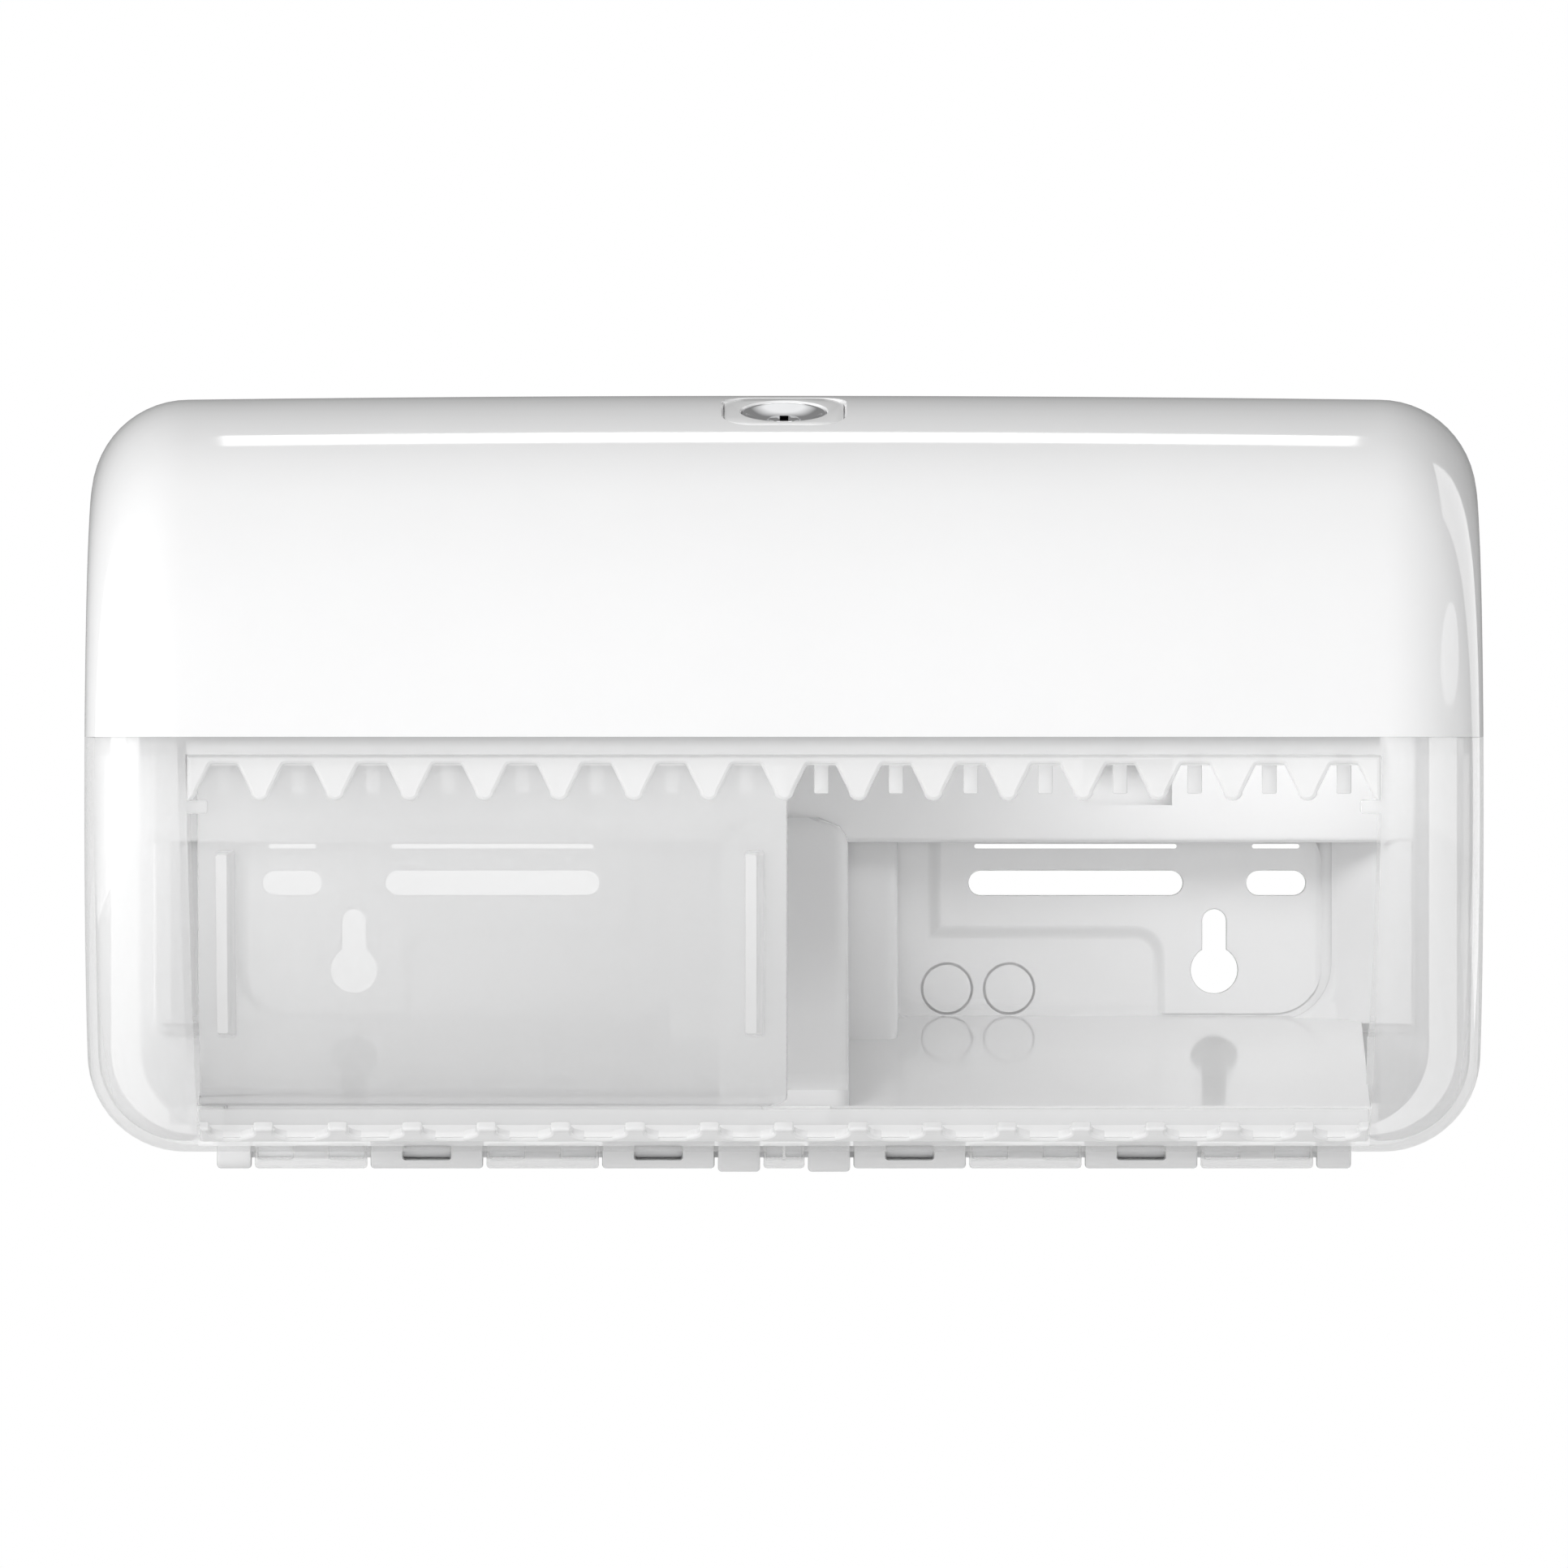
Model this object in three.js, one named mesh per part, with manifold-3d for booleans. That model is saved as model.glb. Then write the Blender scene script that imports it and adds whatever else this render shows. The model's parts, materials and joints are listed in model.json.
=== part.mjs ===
// Double roll toilet paper dispenser for a wall, in millimetres.
// +X is to the right seen from the front, -Y points out of the wall into the room, +Z is up.
// The origin lies on the wall, at the middle of the back panel. In the side view a place is
// given as its distance from the wall and its height.

import * as THREE from "three";
import { mergeVertices } from "three/addons/utils/BufferGeometryUtils.js";
import Module from "manifold-3d";

const wasm = await Module();
wasm.setup();

// Driving dimensions of the cover
const coverHalfWidth = 143;
const coverTop = 79.4;
const coverRim = 2.5;
const frontCentreDistance = 69;
const frontCentreHeight = -4.5;
const arcOverTop = 0.1;
const frontRadius = coverTop - frontCentreHeight + arcOverTop;
const arcUnderBottom = 13;
const coverBottom = frontCentreHeight - frontRadius + arcUnderBottom;
const bottomFilletRadius = 24;
const edgeRounding = 20;
const coverWall = 2.2;
const crown = 0.8;
const seamHeight = 9.6;
const seamGap = 0.2;
const lapHeight = 4;
const lapWall = 1.2;
const fitGap = 0.3;
const overrun = 20;

// Front opening of the cover
const openingDrop = 3.6;
const openingTop = seamHeight - openingDrop;
const openingSideWidth = 21.1;
const openingTopHalfWidth = coverHalfWidth - openingSideWidth;
const openingTaper = 1.6;
const openingLipReach = 7.7;
const flangeThickness = 1.7;
const flangeReach = 34;
const keeperReach = 4.2;
const keeperDrop = 9.2;
const keeperTop = openingTop - keeperDrop;
const keeperHeight = 2.9;
const keeperDepth = 3;

// Tear bars
const teethEachSide = 8;
const toothPitch = openingTopHalfWidth / teethEachSide;
const toothRootWidth = 9;
const toothTipWidth = 3;
const toothLength = 7.2;
const lowerToothTipWidth = 4.3;
const barWall = 2;
const barRail = 1.9;
const barFlangeHeight = 10;
const lowerBarTongue = 6;
const lowerTongueWall = 1;

// Sliding door and its tracks
const doorRoom = 9;
const doorRadius = frontRadius - doorRoom;
const doorThickness = 2;
const doorLap = 0.4;
const doorTop = openingTop + doorLap;
const doorRise = 9.5;
const doorBottom = coverBottom + doorRise;
const doorMiddleOverlap = 0.7;
const doorSideGap = 0.6;
const fingerRidgeWidth = 4.2;
const fingerRidgeDrop = 19.8;
const fingerRidgeTop = doorTop - fingerRidgeDrop;
const fingerRidgeRise = 14;
const fingerRidgeBottom = doorBottom + fingerRidgeRise;
const fingerRidgeProud = 5;
const fingerRidgeInset = 5.2;
const hookWidth = 3;
const hookDrop = 8.4;
const hookBottom = doorTop - hookDrop;
const hookWall = 1.6;
const trackWall = 1.5;
const trackWidth = 7.3;
const trackHeight = 5.1;
const glideHeight = 3.8;
const glideOutsideReach = 6.5;
const glideInsideReach = 9;
const glideInsideOverlap = 5;

// Back panel
const panelInset = 8;
const panelHalfWidth = coverHalfWidth - panelInset;
const panelDrop = 5.4;
const panelTop = coverTop - panelDrop;
const panelRise = 3.5;
const panelBottom = coverBottom + panelRise;
const panelCorner = 17;
const panelWall = 2.5;
const bandDepth = 15;
const bandInset = 3;
const bandHalfWidth = panelHalfWidth - bandInset;
const bandCorner = 14;
const padHalfSize = 10;
const dividerHalfWidth = 13.4;
const dividerTopDepth = 20;
const dividerSetback = 6;
const dividerRise = 13.5;
const dividerFrontHeight = coverBottom + dividerRise;
const dividerCorner = 6;
const borderDepth = 6.5;
const bayInnerEdge = 23.8;
const outerBorderWidth = 17.5;
const bayOuterEdge = bandHalfWidth - outerBorderWidth;
const trayInset = 12.4;
const trayHalfWidth = bandHalfWidth - trayInset;
const trayRearRise = 27.5;
const trayRearHeight = coverBottom + trayRearRise;
const trayFrontRise = 7.9;
const trayFrontHeight = coverBottom + trayFrontRise;
const trayFrontGap = 7.6;
const trayWall = 2.2;
const trayLip = 2;

// Screw holes of the back panel
const keyholeInset = 24.5;
const keyholeOffset = bayOuterEdge - keyholeInset;
const keyholeRise = 9.1;
const keyholeHeight = trayRearHeight + keyholeRise;
const keyholeRadius = 4.9;
const keyholeNeckHalfWidth = 2.5;
const keyholeNeckLength = 12.7;
const keyholeNeckTop = keyholeHeight + keyholeNeckLength;
const slotRise = 18.2;
const slotHeight = keyholeHeight + slotRise;
const slotRadius = 2.55;
const wideSlotInset = 14.8;
const wideSlotInner = bayInnerEdge + wideSlotInset;
const wideSlotSpacing = 6.6;
const wideSlotOuter = keyholeOffset - wideSlotSpacing;
const smallSlotSpacing = 6.7;
const smallSlotInner = keyholeOffset + smallSlotSpacing;
const smallSlotWidth = 12.4;
const smallSlotOuter = smallSlotInner + smallSlotWidth;
const bandRise = 8.5;
const bandBottom = slotHeight + bandRise;
const slitDrop = 0.4;
const slitTop = bandBottom - slitDrop;
const dividerOverlap = 5.2;
const dividerTop = bandBottom + dividerOverlap;
const slitHeight = 0.9;
const slitInset = 1.2;
const bandWindowSpacing = 9;
const bandWindowOuter = keyholeOffset - bandWindowSpacing;
const bandWindowWidth = 18.4;
const bandWindowInner = bandWindowOuter - bandWindowWidth;
const bandWindowRise = 7.8;
const bandWindowBottom = bandBottom + bandWindowRise;
const bandWindowHeight = 9.6;
const bandWindowTop = bandWindowBottom + bandWindowHeight;

// Hinge
const hingeDistance = 12;
const hingeDrop = 1.3;
const hingeHeight = coverBottom - hingeDrop;
const knuckleRadius = 3.5;
const knuckleGap = 0.7;
const rodRadius = 1.2;
const boreClearance = 0.25;
const hingeInset = 24.6;
const hingeHalfWidth = coverHalfWidth - hingeInset;
const endKnuckleWidth = 7.2;
const middleKnuckleHalfWidth = 4.3;
const clipWidth = 8.8;
const clipRadius = 4.2;
const knuckleWindowHeight = 2.9;
const whiteWindowShare = 0.41;
const clearWindowShare = 0.3;
const clearWindowMarginShare = 0.035;
const armHeight = 3;

// Lock on the sloped top
const lockTilt = THREE.MathUtils.degToRad(14.5);
const seatWidth = 24.6;
const seatLength = 22.5;
const seatCorner = 4;
const seatDepth = 1.1;
const seatHoleMargin = 1.2;
const tubeRadius = 9.4;
const tubeLength = 12;
const dishRadius = 8.7;
const dishDepth = 2.6;
const dishInset = 0.4;
const dishWall = 1.2;
const barrelRadius = 3.2;
const barrelClearance = 0.2;
const keySlotWidth = 1.8;
const keySlotLength = 4.4;
const keySlotDepth = 5;
const nutMargin = 3.2;
const nutThickness = 2;
const nutTop = -3.5;
const camRadius = 6;
const camThickness = 1.8;
const pinRadius = 1.25;
const pinThrow = 5;
const pinSlotClearance = 0.3;

// Latch slider, its guide and the catch
const sliderThickness = 2.2;
const sliderWidth = 14;
const sliderFrontReach = 8;
const sliderBendReach = 14;
const sliderRearGap = 1.2;
const sliderRear = bandDepth + sliderRearGap;
const tongueDepth = 3.4;
const tongueReach = 6;
const tongueShoulder = 4;
const guideDistance = 46;
const guideLength = 12;
const guideHalfWidth = 18;
const guideThickness = 2;
const guideScrewOffset = 14;
const bossRadius = 3;
const holdDownRibWidth = 16;
const holdDownRibLength = 4;
const catchThickness = 1.6;
const catchDrop = 7.5;
const catchHeight = 12;
const catchLeafStart = 11.2;
const catchRiser = 22;
const catchEnd = 40;
const catchScrewInset = 4.5;
const catchScrewSpacing = 8;

// Screws
const screwRadius = 1.3;
const screwHeadRadius = 2.6;
const screwHeadHeight = 1.4;
const screwHeadShare = 0.25;
const screwLength = 7;
const screwSlotWidth = 0.8;
const screwSlotDepth = 0.7;
const screwHoleClearance = 0.3;

// Smoothness, as numbers of flat steps
const frontArcSteps = 18;
const filletSteps = 5;
const edgeSteps = 4;
const crownSteps = 4;
const roundSteps = 12;
const boreSteps = 10;

// Finishes
const finishes = {
  whitePlastic: { color: 0xf3f4f4, roughness: 0.22, metalness: 0 },
  clearPlastic: { color: 0xe4e7e8, roughness: 0.12, metalness: 0 },
  chrome: { color: 0xd7d9dc, roughness: 0.08, metalness: 1 },
  steel: { color: 0xb4b7ba, roughness: 0.35, metalness: 1 },
};

const dispenser = new THREE.Group();
const lockGroup = new THREE.Group();

function addPart(name, solid, finish, parent = dispenser) {
  const mesh = new THREE.Mesh(geometryOf(solid), new THREE.MeshStandardMaterial(finish));
  mesh.name = name;
  parent.add(mesh);
  return mesh;
}

// Solids from geometries and back

function solidOf(geometry) {
  const plain = new THREE.BufferGeometry();
  plain.setAttribute("position", geometry.getAttribute("position"));
  plain.setIndex(geometry.getIndex());
  const merged = mergeVertices(plain);
  const vertProperties = new Float32Array(merged.getAttribute("position").array);
  const triVerts = new Uint32Array(merged.getIndex().array);
  return new wasm.Manifold(new wasm.Mesh({ numProp: 3, vertProperties, triVerts }));
}

function geometryOf(solid) {
  const mesh = solid.getMesh();
  const geometry = new THREE.BufferGeometry();
  geometry.setAttribute("position", new THREE.BufferAttribute(mesh.vertProperties, 3));
  geometry.setIndex(new THREE.BufferAttribute(mesh.triVerts, 1));
  geometry.computeVertexNormals();
  return geometry;
}

function join(...solids) {
  return solids.reduce((whole, solid) => whole.add(solid));
}

function cut(solid, ...cutters) {
  return cutters.reduce((rest, cutter) => rest.subtract(cutter), solid);
}

function moved(geometry, matrix) {
  return geometry.clone().applyMatrix4(matrix);
}

// Basic forms

function outlineShape(points) {
  return new THREE.Shape(points.map(([across, up]) => new THREE.Vector2(across, up)));
}

function roundedRectangle(left, right, low, high, radius) {
  const shape = new THREE.Shape();
  const quarter = Math.PI / 2;
  shape.absarc(right - radius, high - radius, radius, 0, quarter);
  shape.absarc(left + radius, high - radius, radius, quarter, 2 * quarter);
  shape.absarc(left + radius, low + radius, radius, 2 * quarter, 3 * quarter);
  shape.absarc(right - radius, low + radius, radius, 3 * quarter, 4 * quarter);
  return shape;
}

function extruded(shape, depth, curveSegments = roundSteps / 2) {
  return new THREE.ExtrudeGeometry(shape, { depth, bevelEnabled: false, curveSegments });
}

// A plate seen from the front: the shape lies in x and height, between two distances from the wall
function plate(shape, back, front) {
  return solidOf(extruded(shape, front - back).rotateX(Math.PI / 2).translate(0, -back, 0));
}

// A bar seen from the side: the outline lies in distance and height, between two x values
function bar(outline, left, right) {
  const turn = new THREE.Matrix4().makeBasis(
    new THREE.Vector3(0, -1, 0),
    new THREE.Vector3(0, 0, 1),
    new THREE.Vector3(-1, 0, 0),
  );
  const shape = outline instanceof THREE.Shape ? outline : outlineShape(outline);
  return solidOf(extruded(shape, right - left).applyMatrix4(turn).translate(right, 0, 0));
}

// A column seen from above: the outline lies in x and distance, between two heights
function column(outline, low, high) {
  const flipped = outline.map(([across, distance]) => [across, -distance]);
  return solidOf(extruded(outlineShape(flipped), high - low).translate(0, 0, low));
}

function block(left, right, back, front, low, high) {
  const box = new THREE.BoxGeometry(right - left, front - back, high - low);
  return solidOf(box.translate((left + right) / 2, -(back + front) / 2, (low + high) / 2));
}

function rodAlongX(radius, left, right, distance, height, steps = roundSteps) {
  const rod = new THREE.CylinderGeometry(radius, radius, right - left, steps);
  return solidOf(rod.rotateZ(Math.PI / 2).translate((left + right) / 2, -distance, height));
}

function upright(radius, low, high, steps = roundSteps) {
  const post = new THREE.CylinderGeometry(radius, radius, high - low, steps);
  return post.rotateX(Math.PI / 2).translate(0, 0, (low + high) / 2);
}

function mirrored(solid) {
  return solid.mirror([1, 0, 0]);
}

function arcPoints(centre, radius, from, to, steps) {
  return Array.from({ length: steps + 1 }, (_, step) => {
    const angle = from + ((to - from) * step) / steps;
    return [centre[0] + radius * Math.cos(angle), centre[1] + radius * Math.sin(angle)];
  });
}

// The side view of a curved strip between two radii round one centre
function stripOutline(centre, inner, outer, from, to, steps) {
  return [...arcPoints(centre, outer, from, to, steps), ...arcPoints(centre, inner, to, from, steps)];
}

// Side view of the cover: a flat top, a round front, a smaller round below it and a flat bottom

const quarterTurn = Math.PI / 2;
const frontCentre = [frontCentreDistance, frontCentreHeight];
const filletHeight = coverBottom + bottomFilletRadius;
const filletOffset = frontRadius - bottomFilletRadius;
const filletRise = frontCentreHeight - filletHeight;
const filletCentre = [frontCentreDistance + Math.sqrt(filletOffset ** 2 - filletRise ** 2), filletHeight];
const filletStart = -Math.asin(filletRise / filletOffset);
const openingLipDistance = filletCentre[0] + openingLipReach;
const frontArcStart = Math.asin((coverTop - frontCentreHeight) / frontRadius);

function coverOutline(inset, rim) {
  const top = coverTop - inset;
  const radius = frontRadius - inset;
  return [
    [rim, top],
    ...arcPoints(frontCentre, radius, frontArcStart, filletStart, frontArcSteps),
    ...arcPoints(filletCentre, bottomFilletRadius - inset, filletStart, -quarterTurn, filletSteps).slice(1),
    [rim, coverBottom + inset],
  ];
}

function crownLift(across, height) {
  const flatHalf = coverHalfWidth - edgeRounding;
  const spread = Math.max(0, 1 - (across / flatHalf) ** 2);
  const rise = Math.max(0, (height - seamHeight) / (coverTop - seamHeight));
  return crown * spread * rise;
}

// The whole body of the cover, set in by a given amount, as sections from left to right
function coverBody(inset, rim) {
  const rounding = edgeRounding - inset;
  const flatHalf = coverHalfWidth - edgeRounding;
  const stations = [];
  for (let step = 0; step < edgeSteps; step += 1) {
    const angle = (Math.PI / 2) * (1 - step / edgeSteps);
    stations.push([-flatHalf - rounding * Math.sin(angle), rounding * (1 - Math.cos(angle))]);
  }
  for (let step = 0; step <= crownSteps; step += 1) {
    stations.push([-flatHalf + (2 * flatHalf * step) / crownSteps, 0]);
  }
  for (let step = 1; step <= edgeSteps; step += 1) {
    const angle = ((Math.PI / 2) * step) / edgeSteps;
    stations.push([flatHalf + rounding * Math.sin(angle), rounding * (1 - Math.cos(angle))]);
  }
  const sections = stations.map(([across, depth]) =>
    coverOutline(inset + depth, rim).map(([distance, height]) => [
      across,
      -distance,
      height + crownLift(across, height),
    ]),
  );
  return solidOf(loft(sections));
}

function loft(sections) {
  const count = sections[0].length;
  const last = sections.length - 1;
  const index = [];
  for (let section = 0; section < last; section += 1) {
    for (let corner = 0; corner < count; corner += 1) {
      const next = (corner + 1) % count;
      const here = section * count;
      const there = here + count;
      index.push(here + corner, there + next, there + corner);
      index.push(here + corner, here + next, there + next);
    }
  }
  const flat = sections[0].map(([, y, z]) => new THREE.Vector2(y, z));
  for (const [a, b, c] of THREE.ShapeUtils.triangulateShape(flat, [])) {
    index.push(a, c, b);
    index.push(last * count + a, last * count + b, last * count + c);
  }
  const geometry = new THREE.BufferGeometry();
  geometry.setAttribute("position", new THREE.Float32BufferAttribute(sections.flat(2), 3));
  geometry.setIndex(index);
  return geometry;
}

const everything = 2 * coverHalfWidth;

function slab(low, high) {
  return block(-everything, everything, -everything, everything, low, high);
}

// Lock frame: local Z stands square on the sloped top, local X is across

const lockAngle = Math.PI / 2 - lockTilt;
const lockSeat = arcPoints(frontCentre, frontRadius, lockAngle, lockAngle, 1)[0];
lockGroup.position.set(0, -lockSeat[0], lockSeat[1]);
lockGroup.rotation.x = lockTilt;
lockGroup.updateMatrix();
dispenser.add(lockGroup);
const fromLock = lockGroup.matrix.clone();
const toLock = fromLock.clone().invert();

function fromLockSide(back, up) {
  const place = new THREE.Vector3(0, back, up).applyMatrix4(fromLock);
  return [-place.y, place.z];
}

function seatShape(margin) {
  const half = seatWidth / 2 + margin;
  const halfLength = seatLength / 2 + margin;
  const corner = Math.max(seatCorner + margin, seatCorner / 2);
  return roundedRectangle(-half, half, -halfLength, halfLength, corner);
}

function lockPrism(shape, low, high) {
  return extruded(shape, high - low).translate(0, 0, low);
}

const pinOffset = pinThrow / 2;
const pinCircle = pinOffset * Math.SQRT2;
const camTop = -tubeLength - fitGap;
const camBottom = camTop - camThickness;
const sliderTopInLock = camBottom - screwHeadHeight - fitGap;
const sliderBottomInLock = sliderTopInLock - sliderThickness;

// White upper shell of the cover

const bendTop = fromLockSide(sliderBendReach, sliderTopInLock);
const sliderTop = bendTop[1];
const sliderBottom = sliderTop - sliderThickness;
const guideTop = sliderBottom - fitGap;
const guideBottom = guideTop - guideThickness;
const coverCeiling = coverTop - coverWall;

function screwHole(length) {
  return upright(screwRadius + screwHoleClearance, -length, overrun, boreSteps);
}

function frontShell() {
  const skin = cut(coverBody(0, coverRim), coverBody(coverWall, -overrun));
  const upper = skin.intersect(slab(seamHeight, everything));
  const bosses = [-guideScrewOffset, guideScrewOffset].map((across) => {
    const boss = upright(bossRadius, guideTop + fitGap, coverCeiling + coverWall / 2);
    return solidOf(boss.translate(across, -guideDistance, 0));
  });
  const bores = [-guideScrewOffset, guideScrewOffset].map((across) => {
    const bore = upright(screwRadius + screwHoleClearance, guideBottom, coverCeiling, boreSteps);
    return solidOf(bore.translate(across, -guideDistance, 0));
  });
  const rib = block(
    -holdDownRibWidth / 2,
    holdDownRibWidth / 2,
    guideDistance - holdDownRibLength / 2,
    guideDistance + holdDownRibLength / 2,
    sliderTop + fitGap,
    coverCeiling + coverWall / 2,
  );
  const pocket = solidOf(moved(lockPrism(seatShape(fitGap), -seatDepth - fitGap, overrun), fromLock));
  const hole = solidOf(moved(lockPrism(seatShape(-seatHoleMargin), -overrun / 2, overrun), fromLock));
  return cut(join(upper, ...bosses, rib), ...bores, pocket, hole);
}

// Clear lower part of the cover, with a lap that runs up behind the white shell

const lapInset = coverWall + seamGap;
const lapInnerInset = lapInset + lapWall;

function openingHalfWidth(height) {
  const drop = (openingTop - height) / (openingTop - doorBottom);
  return openingTopHalfWidth - openingTaper * drop;
}

function openingCutter() {
  const low = coverBottom - overrun;
  const mouth = outlineShape([
    [-openingHalfWidth(low), low],
    [openingHalfWidth(low), low],
    [openingTopHalfWidth, openingTop],
    [-openingTopHalfWidth, openingTop],
  ]);
  const front = frontCentreDistance + frontRadius + overrun;
  const reach = bar(
    [
      [frontCentreDistance, openingTop],
      [front, openingTop],
      [front, low],
      [openingLipDistance, low],
      [openingLipDistance, filletHeight],
      [frontCentreDistance, filletHeight + edgeRounding],
    ],
    -everything,
    everything,
  );
  return plate(mouth, frontCentreDistance, front).intersect(reach);
}

function flange() {
  const low = coverBottom;
  const high = seamHeight - seamGap;
  const sheet = plate(
    outlineShape([
      [openingHalfWidth(low), low],
      [openingHalfWidth(low) + flangeThickness, low],
      [openingHalfWidth(high) + flangeThickness, high],
      [openingHalfWidth(high), high],
    ]),
    hingeDistance,
    frontCentreDistance + frontRadius,
  );
  const core = rodAlongX(
    frontRadius - coverWall - flangeReach,
    -everything,
    everything,
    frontCentreDistance,
    frontCentreHeight,
    2 * roundSteps,
  );
  const rear = block(-everything, everything, -overrun, frontCentreDistance, -everything, everything);
  return cut(sheet.intersect(coverBody(coverWall / 2, coverRim)), core, rear);
}

function coverWindow() {
  const skin = cut(coverBody(0, coverRim), coverBody(coverWall, -overrun));
  const lower = skin.intersect(slab(-everything, seamHeight - seamGap));
  const lapBand = cut(coverBody(lapInset, coverRim), coverBody(lapInnerInset, -overrun));
  const lap = lapBand.intersect(slab(seamHeight - lapHeight, seamHeight + lapHeight));
  const rootBand = cut(coverBody(coverWall / 2, coverRim), coverBody(lapInnerInset, -overrun));
  const root = rootBand.intersect(slab(seamHeight - lapHeight, seamHeight - seamGap));
  const hingeCut = block(
    -hingeHalfWidth - knuckleGap,
    hingeHalfWidth + knuckleGap,
    -overrun,
    hingeDistance + knuckleRadius + knuckleGap,
    coverBottom - overrun,
    filletHeight,
  );
  const openedUp = cut(join(lower, lap, root), openingCutter(), hingeCut);
  const sides = join(flange(), mirrored(flange()), keeper(), mirrored(keeper()));
  const window = cut(join(openedUp, sides), glidePath());
  return join(window, ...clearKnuckles());
}

// A nub on each flange keeps the door's edge from springing forward
function keeper() {
  const edge = openingHalfWidth(keeperTop);
  const rear = doorRadius + 2 * fitGap;
  const strip = stripOutline(
    frontCentre,
    rear,
    rear + keeperDepth,
    doorAngle(keeperTop, rear),
    doorAngle(keeperTop - keeperHeight, rear),
    1,
  );
  return bar(strip, edge - keeperReach, edge + flangeThickness / 2);
}

const flangeOutside = openingTopHalfWidth + flangeThickness;

// The glides pass both flanges at the foot of the door
function glidePath() {
  return block(
    -everything,
    everything,
    trackRear - fitGap,
    trackFront + fitGap,
    trackFloor - fitGap,
    glideLow + glideHeight + 2 * fitGap,
  ).intersect(block(-flangeOutside, flangeOutside, 0, everything, -everything, 0));
}

// Hinge: white knuckles on the panel and clear ones on the cover take turns along one rod line

const clipOuter = middleKnuckleHalfWidth + knuckleGap + clipWidth;
const knuckleRun = hingeHalfWidth - endKnuckleWidth - clipOuter - 2 * knuckleGap;
const knuckleWidth = (knuckleRun - 3 * knuckleGap) / 4;
const boreRadius = rodRadius + boreClearance;

function knuckleSpan(place) {
  const start = clipOuter + knuckleGap + place * (knuckleWidth + knuckleGap);
  return [start, start + knuckleWidth];
}

function knuckle(left, right, radius, windows) {
  const barrel = rodAlongX(radius, left, right, hingeDistance, hingeHeight);
  const bore = rodAlongX(boreRadius, left - overrun, right + overrun, hingeDistance, hingeHeight, boreSteps);
  const openings = windows.map(([start, end]) =>
    block(
      start,
      end,
      hingeDistance,
      hingeDistance + radius + overrun,
      hingeHeight - knuckleWindowHeight / 2,
      hingeHeight + knuckleWindowHeight / 2,
    ),
  );
  return { barrel, bore, openings };
}

function clearArm(left, right) {
  const front = hingeDistance + knuckleRadius + 2 * knuckleGap;
  return block(left, right, hingeDistance, front, coverBottom, coverBottom + coverWall);
}

function whiteArm(left, right) {
  const high = hingeHeight + knuckleRadius;
  const reach = block(left, right, 0, hingeDistance, high - armHeight, high);
  const root = block(left, right, 0, panelWall, high - armHeight, panelBottom + panelWall);
  return join(reach, root);
}

function clearKnuckle(left, right) {
  const width = right - left;
  const margin = width * clearWindowMarginShare;
  const length = width * clearWindowShare;
  const windows = [
    [left + margin, left + margin + length],
    [right - margin - length, right - margin],
  ];
  const { barrel, bore, openings } = knuckle(left, right, knuckleRadius, windows);
  return cut(join(barrel, clearArm(left, right)), bore, ...openings);
}

function clearKnuckles() {
  const half = middleKnuckleHalfWidth;
  const middle = knuckle(-half, half, knuckleRadius, [[-half + knuckleGap, half - knuckleGap]]);
  const parts = [cut(join(middle.barrel, clearArm(-half, half)), middle.bore, ...middle.openings)];
  for (const place of [1, 3]) {
    const [left, right] = knuckleSpan(place);
    parts.push(clearKnuckle(left, right), clearKnuckle(-right, -left));
  }
  return parts;
}

function whiteKnuckles() {
  const parts = [];
  for (const place of [0, 2]) {
    const [left, right] = knuckleSpan(place);
    const middle = (left + right) / 2;
    const half = ((right - left) * whiteWindowShare) / 2;
    const { barrel, bore, openings } = knuckle(left, right, knuckleRadius, [[middle - half, middle + half]]);
    const side = cut(join(barrel, whiteArm(left, right)), bore, ...openings);
    parts.push(side, mirrored(side));
  }
  const end = knuckle(hingeHalfWidth - endKnuckleWidth, hingeHalfWidth, knuckleRadius, []);
  const arm = whiteArm(hingeHalfWidth - endKnuckleWidth, hingeHalfWidth);
  const last = cut(join(end.barrel, arm), end.bore);
  return [...parts, last, mirrored(last)];
}

function rodClip() {
  const left = middleKnuckleHalfWidth + knuckleGap;
  const right = left + clipWidth;
  const { barrel, bore } = knuckle(left, right, clipRadius, []);
  const high = hingeHeight + knuckleRadius;
  const foot = block(left, right, fitGap, hingeDistance, high - armHeight, high);
  return cut(join(barrel, foot), bore);
}

// Back panel

function keyhole() {
  const neck = roundedRectangle(
    keyholeOffset - keyholeNeckHalfWidth,
    keyholeOffset + keyholeNeckHalfWidth,
    keyholeHeight,
    keyholeNeckTop,
    keyholeNeckHalfWidth,
  );
  const round = new THREE.Shape().absarc(keyholeOffset, keyholeHeight, keyholeRadius, 0, 2 * Math.PI);
  return join(plate(neck, -overrun, overrun), plate(round, -overrun, overrun));
}

function slot(inner, outer, height, radius) {
  return plate(roundedRectangle(inner, outer, height - radius, height + radius, radius), -overrun, overrun);
}

function panelHoles() {
  const slitRadius = slitHeight / 2;
  const side = join(
    keyhole(),
    slot(wideSlotInner, wideSlotOuter, slotHeight, slotRadius),
    slot(smallSlotInner, smallSlotOuter, slotHeight, slotRadius),
    slot(wideSlotInner + slitInset, wideSlotOuter - slitInset, slitTop - slitRadius, slitRadius),
    slot(smallSlotInner + slitInset, smallSlotOuter - slitInset, slitTop - slitRadius, slitRadius),
  );
  return join(side, mirrored(side));
}

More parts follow.
